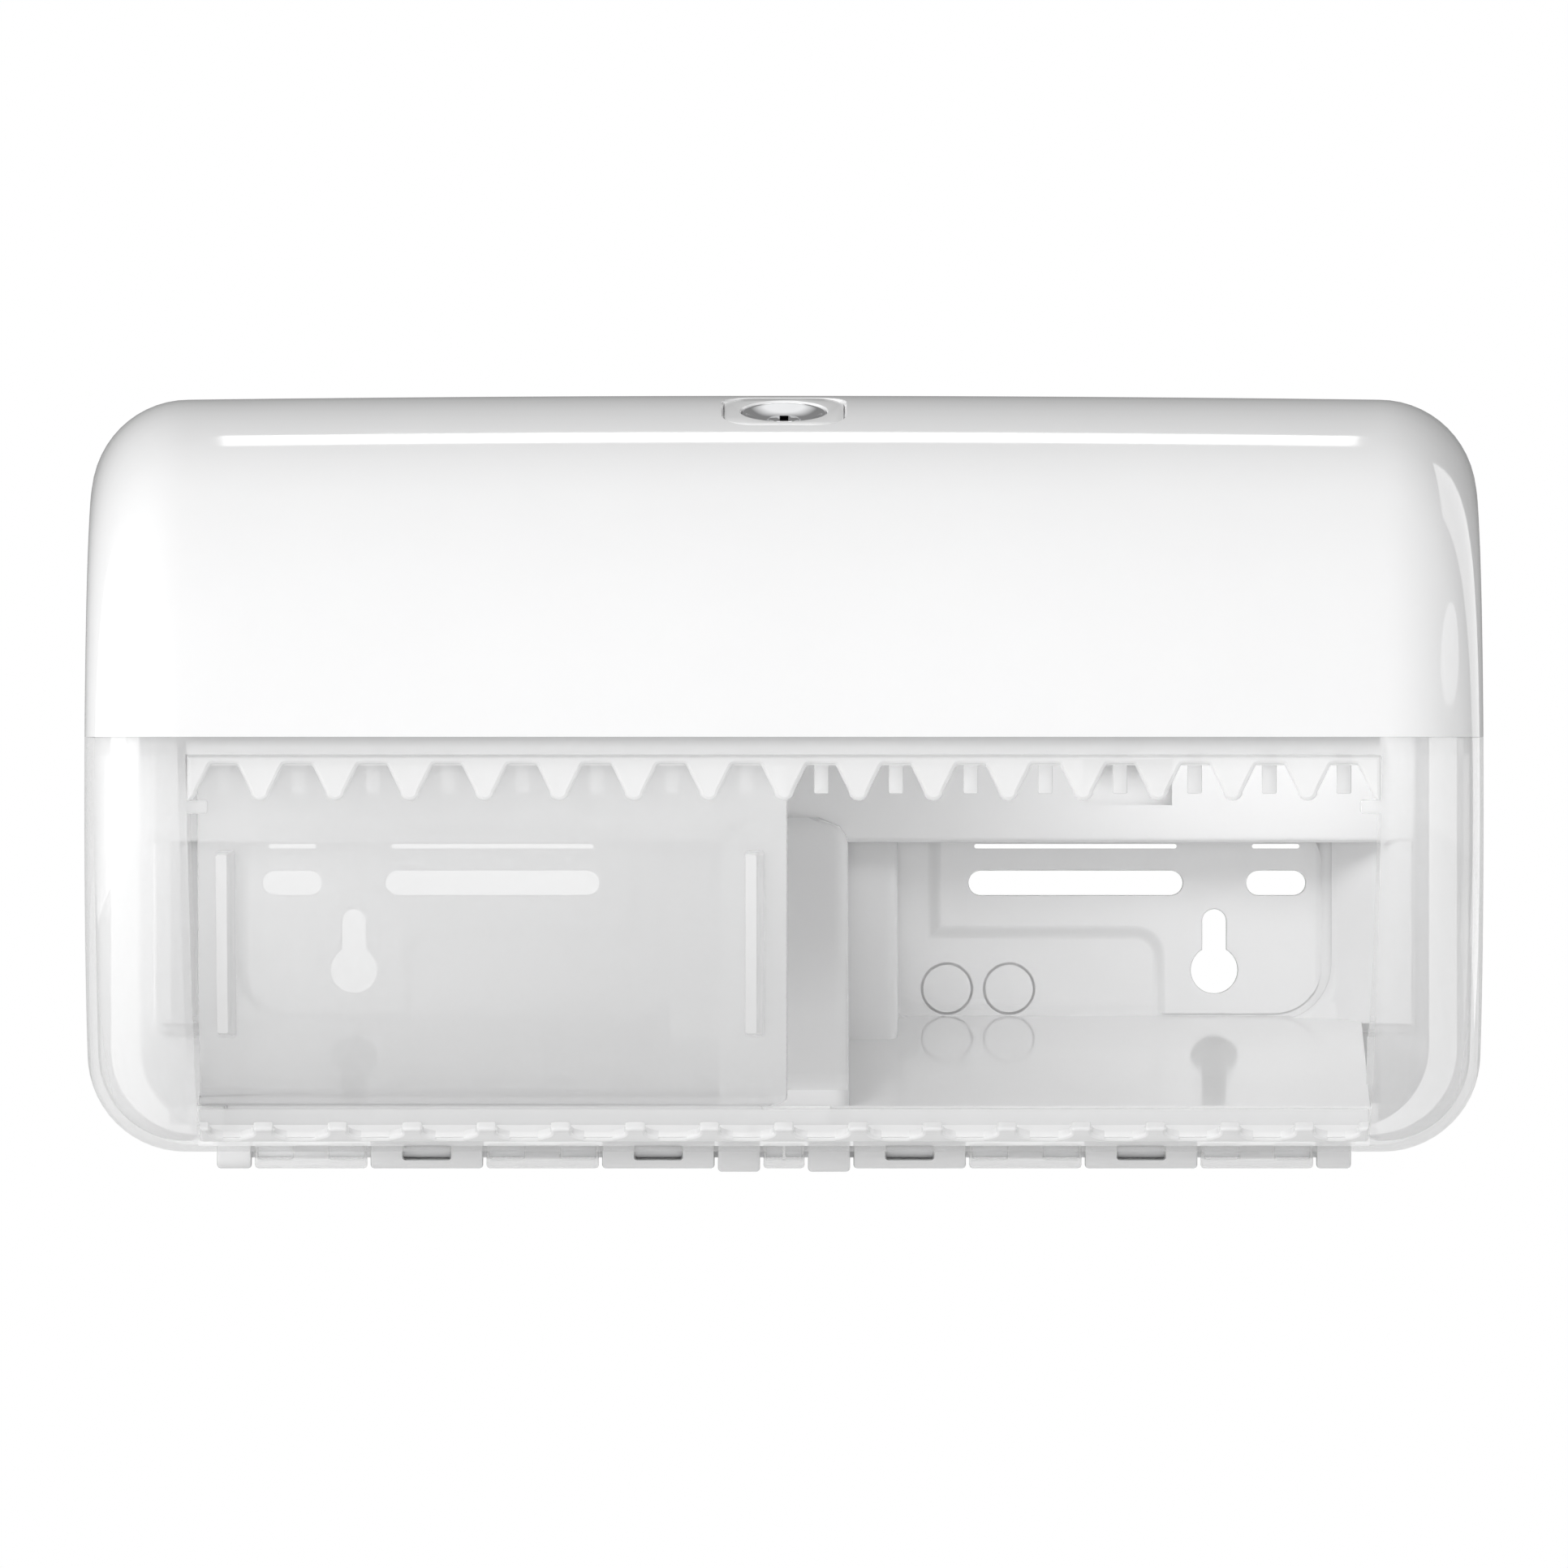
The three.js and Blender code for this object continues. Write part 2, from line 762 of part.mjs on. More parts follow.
function band() {
  const outer = roundedRectangle(-bandHalfWidth, bandHalfWidth, bandBottom, panelTop, bandCorner);
  const inner = roundedRectangle(
    -bandHalfWidth + panelWall,
    bandHalfWidth - panelWall,
    bandBottom + panelWall,
    panelTop - panelWall,
    bandCorner - panelWall,
  );
  const lowStrip = block(-bandHalfWidth, bandHalfWidth, 0, bandDepth, bandBottom, bandBottom + bandCorner);
  const lowHollow = block(
    -bandHalfWidth + panelWall,
    bandHalfWidth - panelWall,
    -overrun,
    bandDepth - panelWall,
    bandBottom + panelWall,
    bandBottom + bandCorner,
  );
  const hollow = join(plate(inner, -overrun, bandDepth - panelWall), lowHollow);
  return { outside: join(plate(outer, 0, bandDepth), lowStrip), hollow };
}

// The divider between the two rolls grows forward as it goes down
function divider() {
  const fall = dividerTop - dividerFrontHeight;
  const reach = dividerFrontDepth - dividerTopDepth;
  const steps = roundSteps / 2;
  const face = Array.from({ length: steps + 1 }, (_, step) => {
    const along = step / steps;
    return [dividerTopDepth + reach * along ** 2, dividerTop - fall * along];
  });
  const side = bar(
    [[0, dividerTop], ...face, [dividerFrontDepth, trayFrontHeight], [0, trayRearHeight - panelWall]],
    -dividerHalfWidth,
    dividerHalfWidth,
  );
  const front = roundedRectangle(
    -dividerHalfWidth,
    dividerHalfWidth,
    panelBottom,
    dividerTop,
    dividerCorner,
  );
  const inside = bar(
    [
      [-overrun, dividerTop - panelWall],
      [dividerTopDepth - panelWall, dividerTop - panelWall],
      ...face.slice(1).map(([distance, height]) => [distance - 2 * panelWall, height - panelWall / 2]),
      [dividerFrontDepth - 2 * panelWall, panelBottom],
      [hingeDistance, panelBottom],
      [hingeDistance, panelBottom + 2 * panelWall],
      [-overrun, panelBottom + 2 * panelWall],
    ],
    -dividerHalfWidth + panelWall,
    dividerHalfWidth - panelWall,
  );
  return { outside: side.intersect(plate(front, 0, dividerFrontDepth)), inside };
}

// A sloped tray carries the rolls and ends in a small lip
function trayOutline() {
  return [
    [panelWall / 2, trayRearHeight],
    [trayFrontDepth - trayWall, trayFrontHeight],
    [trayFrontDepth - trayWall, trayFrontHeight + trayLip],
    [trayFrontDepth, trayFrontHeight + trayLip],
    [trayFrontDepth, trayFrontHeight - trayWall],
    [panelWall / 2, trayRearHeight - trayWall],
  ];
}

function border(inner, outer) {
  return {
    outside: block(inner, outer, 0, borderDepth, trayRearHeight - trayWall, bandBottom + panelWall),
    hollow: block(
      inner + panelWall,
      outer - panelWall,
      -overrun,
      borderDepth - panelWall,
      trayRearHeight,
      bandBottom,
    ),
  };
}

function backPanel() {
  const rear = plate(
    roundedRectangle(-panelHalfWidth, panelHalfWidth, panelBottom, panelTop, panelCorner),
    0,
    panelWall,
  );
  const { outside, hollow } = band();
  const post = divider();
  const innerBorder = border(dividerHalfWidth - panelWall, bayInnerEdge);
  const outerBorder = border(bayOuterEdge, bandHalfWidth);
  const borders = [innerBorder, outerBorder].flatMap((side) => [side.outside, mirrored(side.outside)]);
  const hollows = [innerBorder, outerBorder].flatMap((side) => [side.hollow, mirrored(side.hollow)]);
  const tray = bar(trayOutline(), -trayHalfWidth, trayHalfWidth);
  const body = cut(join(rear, outside, post.outside, ...borders, tray), hollow, post.inside, ...hollows);
  const pad = block(-padHalfSize, padHalfSize, 0, bandDepth - panelWall / 2, -padHalfSize, padHalfSize);
  const bandWindow = block(
    bandWindowInner,
    bandWindowOuter,
    bandDepth - 2 * panelWall,
    bandDepth + overrun,
    bandWindowBottom,
    bandWindowTop,
  );
  return cut(join(body, pad, ...whiteKnuckles()), panelHoles(), bandWindow, ...catchScrewHoles());
}

// Tear bars

// A row of teeth as points: how far across, and how far out from the root line
function toothRow(tipWidth, length) {
  const points = [];
  for (let tooth = 1 - teethEachSide; tooth < teethEachSide; tooth += 1) {
    const middle = tooth * toothPitch;
    const tip = tipWidth / 2;
    points.push([middle - toothRootWidth / 2, 0]);
    points.push([middle - tip, length - tip / 2]);
    points.push([middle - tip / 2, length]);
    points.push([middle + tip / 2, length]);
    points.push([middle + tip, length - tip / 2]);
    points.push([middle + toothRootWidth / 2, 0]);
  }
  return points;
}

const barHalfWidth = openingTopHalfWidth - fitGap;

function upperTearBar() {
  const rootHeight = openingTop - fitGap - barRail;
  const high = openingTop - fitGap;
  const steps = filletSteps;
  const outer = frontRadius - fitGap;
  const inner = frontRadius - lapInnerInset - 2 * fitGap;
  const low = rootHeight - toothLength;
  const angleOf = (height, radius) => Math.asin((height - frontCentreHeight) / radius);
  const lowAngle = angleOf(low - overrun / 2, outer);
  const strip = stripOutline(frontCentre, inner, outer, angleOf(high, outer), lowAngle, steps);
  const row = toothRow(toothTipWidth, toothLength).map(([across, out]) => [across, rootHeight - out]);
  const teeth = outlineShape([
    [-barHalfWidth, high],
    [-barHalfWidth, low + toothTipWidth / 2],
    [-barHalfWidth + toothTipWidth / 4, low + toothTipWidth / 2],
    [-barHalfWidth + toothRootWidth / 2, rootHeight],
    ...row,
    [barHalfWidth - toothRootWidth / 2, rootHeight],
    [barHalfWidth - toothTipWidth / 4, low + toothTipWidth / 2],
    [barHalfWidth, low + toothTipWidth / 2],
    [barHalfWidth, high],
  ]);
  const front = frontCentreDistance + frontRadius + overrun;
  const comb = bar(strip, -barHalfWidth, barHalfWidth).intersect(plate(teeth, frontCentreDistance, front));
  const flangeInner = inner - barWall;
  const flangeTop = high + barFlangeHeight;
  const flangeStrip = stripOutline(
    frontCentre,
    flangeInner,
    inner + fitGap / 2,
    angleOf(flangeTop, inner),
    angleOf(rootHeight, inner),
    2,
  );
  const upperLimit = slab(rootHeight, flangeTop);
  return join(comb, bar(flangeStrip, -barHalfWidth, barHalfWidth).intersect(upperLimit));
}

function lowerTearBar() {
  const outer = bottomFilletRadius - fitGap;
  const inner = bottomFilletRadius - coverWall;
  const start = -Math.acos((openingLipDistance + fitGap - filletCentre[0]) / inner);
  const strip = stripOutline(filletCentre, inner, outer, filletStart, start, filletSteps);
  const tip = filletCentre[0] + outer * Math.cos(filletStart);
  const root = openingLipDistance + barRail;
  const row = toothRow(lowerToothTipWidth, tip - root).map(([across, out]) => [across, root + out]);
  const half = openingHalfWidth(coverBottom) - fitGap;
  const outline = [
    [-half, openingLipDistance],
    [-half, root],
    ...row,
    [half, root],
    [half, openingLipDistance],
  ];
  const comb = bar(strip, -half, half).intersect(column(outline, coverBottom - overrun, filletHeight));
  const tongueOuter = inner - fitGap;
  const tongueAngle = start - lowerBarTongue / tongueOuter;
  const link = stripOutline(
    filletCentre,
    tongueOuter - lowerTongueWall,
    outer,
    start + barRail / outer,
    start,
    2,
  );
  const tongue = stripOutline(
    filletCentre,
    tongueOuter - lowerTongueWall,
    tongueOuter,
    start + barRail / outer,
    tongueAngle,
    3,
  );
  return join(comb, bar(link, -half, half), bar(tongue, -half, half));
}

// Sliding door over one half of the opening, drawn shut over the left roll

const doorInner = doorRadius - doorThickness;
const doorLeft = -openingHalfWidth(doorBottom) + doorSideGap;
const doorRight = doorMiddleOverlap;

function doorAngle(height, radius) {
  return Math.asin((height - frontCentreHeight) / radius);
}

const doorFoot = arcPoints(frontCentre, doorInner, doorAngle(doorBottom, doorRadius), 0, 1)[0];
const trackFront = doorFoot[0] + 2 * fitGap + trackWall;
const trackRear = trackFront - trackWidth;
const trackFloor = coverBottom + coverWall + lowerTongueWall + 2 * fitGap;
const trayFrontDepth = trackRear - trayFrontGap;
const dividerFrontDepth = trayFrontDepth - dividerSetback;
const glideFront = trackFront - trackWall - fitGap;
const glideRear = trackRear + trackWall + fitGap;
const glideLow = trackFloor + trackWall + fitGap;

function slidingDoor() {
  const sheet = bar(
    stripOutline(
      frontCentre,
      doorInner,
      doorRadius,
      doorAngle(doorTop, doorRadius),
      doorAngle(doorBottom, doorRadius),
      frontArcSteps / 2,
    ),
    doorLeft,
    doorRight,
  );
  const heelFront = frontCentre[0] + doorRadius * Math.cos(doorAngle(doorBottom, doorRadius));
  const heel = block(
    doorLeft,
    doorRight,
    doorFoot[0] - doorThickness,
    heelFront,
    doorBottom,
    doorBottom + doorThickness,
  );
  const tongue = block(
    doorLeft,
    doorRight - glideInsideOverlap,
    doorFoot[0] - doorThickness,
    doorFoot[0],
    glideLow,
    doorBottom + fitGap,
  );
  const rightRidge = doorRight - fingerRidgeInset - fingerRidgeWidth + doorSideGap;
  const ridges = [doorLeft + fingerRidgeInset, rightRidge].map((left) => fingerRidge(left));
  const glideRoom = [glideSpanLeft, glideSpanRight].map(([left, right]) =>
    block(
      left - fitGap,
      right + fitGap,
      glideRear - fitGap,
      glideFront + fitGap,
      glideLow - overrun,
      glideLow + glideHeight + fitGap,
    ),
  );
  return cut(join(sheet, heel, tongue, ...ridges), ...glideRoom);
}

function fingerRidge(left) {
  const proud = doorRadius + fingerRidgeProud;
  const strip = stripOutline(
    frontCentre,
    doorRadius - doorThickness / 2,
    proud,
    doorAngle(fingerRidgeTop, proud),
    doorAngle(fingerRidgeBottom, proud),
    filletSteps,
  );
  return bar(strip, left, left + fingerRidgeWidth);
}

const glideSpanLeft = [doorLeft - glideOutsideReach, doorLeft + glideInsideOverlap];
const glideSpanRight = [doorRight - glideInsideOverlap, doorRight + glideInsideReach];

function doorGlide([left, right]) {
  return block(left, right, glideRear, glideFront, glideLow, glideLow + glideHeight);
}

// Upper track: a web over the door with a hook behind it between each pair of teeth
function upperTrack() {
  const web = doorTop + 2 * fitGap;
  const front = frontRadius - lapInnerInset - 2 * fitGap - barWall - fitGap;
  const hookOuter = doorInner - fitGap;
  const hookInner = hookOuter - hookWall;
  const distanceAt = (radius, height) =>
    frontCentreDistance + Math.sqrt(radius ** 2 - (height - frontCentreHeight) ** 2);
  const webHigh = web + trackWall;
  const half = barHalfWidth - fitGap;
  const webBar = bar(
    [
      [distanceAt(hookInner, web), web],
      [distanceAt(front, web), web],
      [distanceAt(front, webHigh), webHigh],
      [distanceAt(hookInner, webHigh), webHigh],
    ],
    -half,
    half,
  );
  const legTop = webHigh + barFlangeHeight / 2;
  const leg = bar(
    stripOutline(
      frontCentre,
      front - trackWall,
      front,
      doorAngle(legTop, front),
      doorAngle(web, front),
      2,
    ),
    -half,
    half,
  );
  const hookStrip = stripOutline(
    frontCentre,
    hookInner,
    hookOuter,
    doorAngle(webHigh, hookOuter),
    doorAngle(hookBottom, hookOuter),
    2,
  );
  const hooks = [];
  for (let gap = -teethEachSide; gap < teethEachSide; gap += 1) {
    const middle = (gap + 1 / 2) * toothPitch;
    hooks.push(bar(hookStrip, middle - hookWidth / 2, middle + hookWidth / 2));
  }
  return join(webBar, leg, ...hooks);
}

// Lower track: a channel on the floor of the cover
function lowerTrack() {
  const half = openingHalfWidth(doorBottom) - fitGap;
  const channel = bar(
    [
      [trackRear, trackFloor],
      [trackRear, coverBottom + coverWall + fitGap],
      [trackRear + trackWall, coverBottom + coverWall + fitGap],
      [trackRear + trackWall, trackFloor],
      [trackFront, trackFloor],
      [trackFront, trackFloor + trackHeight],
      [trackFront - trackWall, trackFloor + trackHeight],
      [trackFront - trackWall, trackFloor + trackWall],
      [trackRear + trackWall, trackFloor + trackWall],
      [trackRear + trackWall, trackFloor + trackHeight],
      [trackRear, trackFloor + trackHeight],
    ],
    -half,
    half,
  );
  const filletClear = cut(
    block(-everything, everything, filletCentre[0], everything, coverBottom, filletHeight),
    rodAlongX(
      bottomFilletRadius - coverWall - lowerTongueWall - 2 * fitGap,
      -everything,
      everything,
      filletCentre[0],
      filletCentre[1],
      3 * roundSteps,
    ),
  );
  return cut(channel, filletClear);
}

// Lock: a white insert, a polished dish, a barrel with a cam, and a nut under the shell

function lathe(points, steps = roundSteps) {
  const profile = points.map(([radius, height]) => new THREE.Vector2(radius, height));
  return solidOf(new THREE.LatheGeometry(profile, steps).rotateX(Math.PI / 2));
}

function lockHousing() {
  const skin = solidOf(moved(geometryOf(coverBody(0, coverRim)), toLock));
  const lip = solidOf(lockPrism(seatShape(0), -seatDepth, seatDepth)).intersect(skin);
  const tube = solidOf(upright(tubeRadius, -tubeLength, -seatDepth / 2, 2 * roundSteps));
  const socketLow = -dishInset - dishDepth - dishWall - fitGap;
  const socket = solidOf(upright(dishRadius + fitGap / 2, socketLow, seatDepth, 2 * roundSteps));
  const bore = solidOf(upright(barrelRadius + barrelClearance, -tubeLength - overrun, seatDepth, boreSteps));
  return cut(join(lip, tube), socket, bore);
}

function lockBezel() {
  const top = -dishInset;
  const bottom = top - dishDepth - dishWall;
  const hole = barrelRadius + barrelClearance;
  const points = [
    [hole, bottom],
    [dishRadius, bottom],
    [dishRadius, top],
  ];
  const steps = filletSteps;
  for (let step = 0; step <= steps; step += 1) {
    const along = step / steps;
    const radius = dishRadius - dishWall / 2 - (dishRadius - dishWall / 2 - hole) * along;
    points.push([radius, top - dishDepth * Math.sin((along * Math.PI) / 2)]);
  }
  points.push([hole, bottom]);
  return lathe(points, 2 * roundSteps);
}

const barrelTop = -dishInset - dishDepth + dishWall / 2;

function lockBarrel() {
  const body = solidOf(upright(barrelRadius, camTop, barrelTop));
  const slotBox = new THREE.BoxGeometry(keySlotWidth, keySlotLength, keySlotDepth + overrun);
  const slotSolid = solidOf(slotBox.translate(0, 0, barrelTop + (overrun - keySlotDepth) / 2));
  const boreTop = camTop + screwLength / 2;
  const bore = solidOf(upright(screwRadius + screwHoleClearance, camTop - overrun, boreTop, boreSteps));
  return cut(body, slotSolid, bore);
}

function lockCam() {
  const disc = solidOf(upright(camRadius, camBottom, camTop));
  const pin = upright(pinRadius, sliderBottomInLock - fitGap, camBottom + camThickness / 2, boreSteps);
  const pinSolid = solidOf(pin.translate(-pinOffset, -pinOffset, 0));
  const boreRim = screwRadius + screwHoleClearance;
  const bore = solidOf(upright(boreRim, camBottom - overrun, camTop + overrun, boreSteps));
  return cut(join(disc, pinSolid), bore);
}

function lockNut() {
  const ring = solidOf(lockPrism(seatShape(nutMargin), nutTop - nutThickness, nutTop));
  const hole = upright(tubeRadius + fitGap, nutTop - overrun, nutTop + overrun, 2 * roundSteps);
  return cut(ring, solidOf(hole));
}

// A pan head screw, head down, with its shank pointing up
function screw(headTop, headRadius = screwHeadRadius, shank = screwLength) {
  const head = headTop - screwHeadHeight;
  const body = lathe(
    [
      [0, head],
      [headRadius * (1 - screwHeadShare), head],
      [headRadius, headTop],
      [screwRadius, headTop],
      [screwRadius, headTop + shank - screwRadius],
      [0, headTop + shank],
    ],
    boreSteps,
  );
  const recess = new THREE.BoxGeometry(screwSlotWidth, overrun, screwSlotDepth + overrun);
  return cut(body, solidOf(recess.translate(0, 0, head + (screwSlotDepth - overrun) / 2)));
}

// Latch slider: bent where it leaves the cam, straight along the top to the wall
function latchSlider() {
  const frontTop = fromLockSide(-sliderFrontReach, sliderTopInLock);
  const frontBottom = fromLockSide(-sliderFrontReach, sliderBottomInLock);
  const bendBottom = fromLockSide(sliderBendReach, sliderBottomInLock);
  const outline = [
    frontTop,
    bendTop,
    [sliderRear, sliderTop],
    [sliderRear, sliderBottom],
    [bendBottom[0] - sliderThickness / 2, sliderBottom],
    frontBottom,
  ];
  const middle = -pinOffset;
  const half = sliderWidth / 2;
  const body = bar(outline, middle - half, middle + half);
  const tongue = block(
    middle,
    middle + half + tongueReach,
    sliderRear,
    sliderRear + tongueDepth,
    sliderBottom,
    sliderTop,
  );
  const relief = block(
    middle + half - tongueShoulder,
    middle + half + overrun,
    sliderRear + tongueDepth,
    catchFront + 2 * fitGap,
    sliderBottom - overrun,
    sliderTop + overrun,
  );
  const reach = pinRadius + pinSlotClearance;
  const slotFront = -pinCircle - reach;
  const slotShape = roundedRectangle(middle - reach, middle + reach, slotFront, -pinOffset + reach, reach);
  const pinPrism = lockPrism(slotShape, sliderBottomInLock - overrun / 4, camBottom);
  const pinSlot = solidOf(moved(pinPrism, fromLock));
  return cut(join(body, tongue), relief, pinSlot);
}

const catchFront = sliderRear + tongueDepth + 2 * fitGap + catchThickness;

function latchGuide() {
  const rear = guideDistance - guideLength / 2;
  const strip = block(-guideHalfWidth, guideHalfWidth, rear, rear + guideLength, guideBottom, guideTop);
  const holes = [-guideScrewOffset, guideScrewOffset].map((across) =>
    solidOf(screwHole(everything).translate(across, -guideDistance, guideBottom)),
  );
  return cut(strip, ...holes);
}

// The catch is a bent steel strip: the tongue moves in behind its free leaf
const catchRear = bandDepth + fitGap / 2;
const catchBottom = sliderTop - catchDrop;

function catchScrewPlaces() {
  const middle = catchBottom + catchHeight / 2;
  return [-1 / 2, 1 / 2].map((side) => [catchEnd - catchScrewInset - catchScrewSpacing / 2, side, middle]);
}

function catchScrewHoles() {
  return catchScrewPlaces().map(([across, side, height]) =>
    solidOf(
      screwHole(everything)
        .rotateX(-quarterTurn)
        .translate(across + side * catchScrewSpacing, 0, height),
    ),
  );
}

function catchPlate() {
  const foot = [
    [catchRiser, catchRear],
    [catchEnd, catchRear],
    [catchEnd, catchRear + catchThickness],
    [catchRiser + catchThickness, catchRear + catchThickness],
    [catchRiser + catchThickness, catchFront],
    [catchLeafStart, catchFront],
    [catchLeafStart, catchFront - catchThickness],
    [catchRiser, catchFront - catchThickness],
  ];
  return cut(column(foot, catchBottom, catchBottom + catchHeight), ...catchScrewHoles());
}

// Assembly

const { whitePlastic, clearPlastic, chrome, steel } = finishes;

addPart("back_panel", backPanel(), whitePlastic);
addPart("front_shell", frontShell(), whitePlastic);
addPart("cover_window", coverWindow(), clearPlastic);
addPart("upper_tear_bar", upperTearBar(), clearPlastic);
addPart("lower_tear_bar", lowerTearBar(), clearPlastic);
addPart("upper_track", upperTrack(), whitePlastic);
addPart("lower_track", lowerTrack(), whitePlastic);
addPart("sliding_door", slidingDoor(), clearPlastic);
addPart("door_glide_left", doorGlide(glideSpanLeft), whitePlastic);
addPart("door_glide_right", doorGlide(glideSpanRight), whitePlastic);

const rodInner = fitGap;
const rodOuter = hingeHalfWidth - fitGap;
const hingeRod = rodAlongX(rodRadius, rodInner, rodOuter, hingeDistance, hingeHeight, boreSteps);
addPart("hinge_rod_right", hingeRod, steel);
addPart("hinge_rod_left", mirrored(hingeRod), steel);
addPart("rod_clip_right", rodClip(), whitePlastic);
addPart("rod_clip_left", mirrored(rodClip()), whitePlastic);

addPart("lock_housing", lockHousing(), whitePlastic, lockGroup);
addPart("lock_bezel", lockBezel(), chrome, lockGroup);
addPart("lock_barrel", lockBarrel(), steel, lockGroup);
addPart("lock_cam", lockCam(), steel, lockGroup);
addPart("lock_nut", lockNut(), whitePlastic, lockGroup);
const camHeadRadius = pinCircle - pinRadius - fitGap;
addPart("lock_cam_screw", screw(camBottom, camHeadRadius, camThickness + screwLength / 3), steel, lockGroup);

addPart("latch_slider", latchSlider(), whitePlastic);
addPart("latch_guide", latchGuide(), whitePlastic);
for (const [name, across] of [["left", -guideScrewOffset], ["right", guideScrewOffset]]) {
  const part = addPart(`guide_screw_${name}`, screw(-fitGap / 2), steel);
  part.position.set(across, -guideDistance, guideBottom);
}

addPart("catch_plate", catchPlate(), steel);
catchScrewPlaces().forEach(([across, side, height], place) => {
  const part = addPart(`catch_screw_${["left", "right"][place]}`, screw(0), steel);
  part.rotation.x = -quarterTurn;
  part.position.set(across + side * catchScrewSpacing, -(catchRear + catchThickness + fitGap / 2), height);
});

export default dispenser;
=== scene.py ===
"""Looks of a double roll toilet paper dispenser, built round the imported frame.

Sizes are in millimetres until place() turns them into metres. A point is (across, distance from
the wall, height), in the same frame as the part.
"""

import json
from contextlib import contextmanager
from math import acos, asin, copysign, cos, pi, radians, sin, sqrt

import bmesh
import bpy
from mathutils import Matrix, Vector


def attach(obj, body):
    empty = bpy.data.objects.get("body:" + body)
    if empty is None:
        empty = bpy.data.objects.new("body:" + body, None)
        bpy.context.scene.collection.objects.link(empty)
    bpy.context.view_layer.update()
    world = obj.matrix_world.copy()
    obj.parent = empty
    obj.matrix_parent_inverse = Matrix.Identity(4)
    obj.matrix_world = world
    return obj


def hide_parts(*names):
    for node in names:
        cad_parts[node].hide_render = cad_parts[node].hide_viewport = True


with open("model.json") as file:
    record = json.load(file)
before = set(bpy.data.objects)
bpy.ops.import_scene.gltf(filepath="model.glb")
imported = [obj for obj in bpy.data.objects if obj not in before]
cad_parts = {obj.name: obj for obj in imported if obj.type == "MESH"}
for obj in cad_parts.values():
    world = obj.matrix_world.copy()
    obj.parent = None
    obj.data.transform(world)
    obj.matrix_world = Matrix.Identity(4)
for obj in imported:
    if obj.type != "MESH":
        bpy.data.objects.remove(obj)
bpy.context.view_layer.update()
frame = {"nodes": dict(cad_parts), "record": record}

MM = 0.001
MERGE_DISTANCE = 2e-6
QUARTER = pi / 2

# Cover
HALF_WIDTH = 143
TOP = 79.4
BOTTOM = -75.5
RIM = 2.5
FRONT = (69, -4.5)
FRONT_RADIUS = 84
FILLET_RADIUS = 24
EDGE_ROUNDING = 20
FLAT_HALF = HALF_WIDTH - EDGE_ROUNDING
WALL = 2.2
CROWN = 0.8
SEAM = 9.6
SEAM_GAP = 0.05
LAP = 4
LAP_WALL = 1.2
FIT = 0.3
ROUNDING_STEPS = 14
FILLET_OFFSET = FRONT_RADIUS - FILLET_RADIUS
FILLET_RISE = FRONT[1] - (BOTTOM + FILLET_RADIUS)
FILLET = (FRONT[0] + sqrt(FILLET_OFFSET**2 - FILLET_RISE**2), BOTTOM + FILLET_RADIUS)
FILLET_START = -asin(FILLET_RISE / FILLET_OFFSET)
ARC_START = asin((TOP - FRONT[1]) / FRONT_RADIUS)

# Opening, tear bars and door
OPENING_TOP = 6
OPENING_HALF = 121.9
OPENING_TAPER = 1.6
LIP_DISTANCE = 114
FLANGE_DEPTH = 34
FLANGE_WALL = 1.7
KEEPER_TOP = -3.2
KEEPER_BOTTOM = -6.1
DOOR_RADIUS = 75
DOOR_WALL = 2
DOOR_TOP = 6.4
DOOR_BOTTOM = -66
DOOR_LEFT = -119.7
DOOR_RIGHT = 0.7
DOOR_CORNER = 3.3
PITCH = 15.2375
TEETH = 8
TRACK_FRONT = 112.88
TRACK_REAR = TRACK_FRONT - 7.3
TRACK_FLOOR = BOTTOM + WALL + 1 + 2 * FIT
GLIDE_LOW = TRACK_FLOOR + 1.5 + FIT
GLIDE_HEIGHT = 3.8
GLIDE_SPANS = ((-126.2, -114.7), (-4.3, 9.7))
RIDGE_WIDTH = 4.2
RIDGE_PROUD = 5
RIDGE_BOTTOM = -52
RIDGE_TOP = -13.4

# Back panel
PANEL_HALF = 135
PANEL_TOP = 74
PANEL_BOTTOM = -72
PANEL_WALL = 2.5
BAND_HALF = 132
BAND_DEPTH = 15
BAND_BOTTOM = -12.2
BORDER_DEPTH = 6.5
BAY_INNER = 23.8
BAY_OUTER = 114.5
DIVIDER_HALF = 13.4
DIVIDER_TOP = -7
DIVIDER_FALL = 55
TRAY_HALF = 120.8
TRAY_REAR = (1.25, -48)
TRAY_FRONT = (95.8, -67.6)
TRAY_LIP_FRONT = 98
TRAY_WALL = 2.2
BAY_RELIEF = PANEL_WALL + 1.2
SLOT_HEIGHTS = (-23.25, -18.15)
KEYHOLE = (90, -38.9)
BAND_WINDOW = (62.6, 81, -4.4, 5.2)
RING_PLACES = (34.1, 47.1)
RING_HEIGHT = -42.8
RING_RADIUS = 5.5
RING_GROOVE = 0.55
CATCH_SCREWS = (27.5, 35.5)
CATCH_HEIGHT = 63.53
SCREW_BORE = 1.6

# Hinge
HINGE = (12, -76.8)
HINGE_HALF = 118.4
KNUCKLE = 3.5
KNUCKLE_GAP = 0.7
MIDDLE_HALF = 4.3
CLIP_LENGTH = 8.8
CLIP_INNER = MIDDLE_HALF + KNUCKLE_GAP
CLIP_OUTER = CLIP_INNER + CLIP_LENGTH
END_KNUCKLE = 7.2
ARM_END = 16.9
ROD = 1.2
ROD_WINDOW_HALF = 1.45

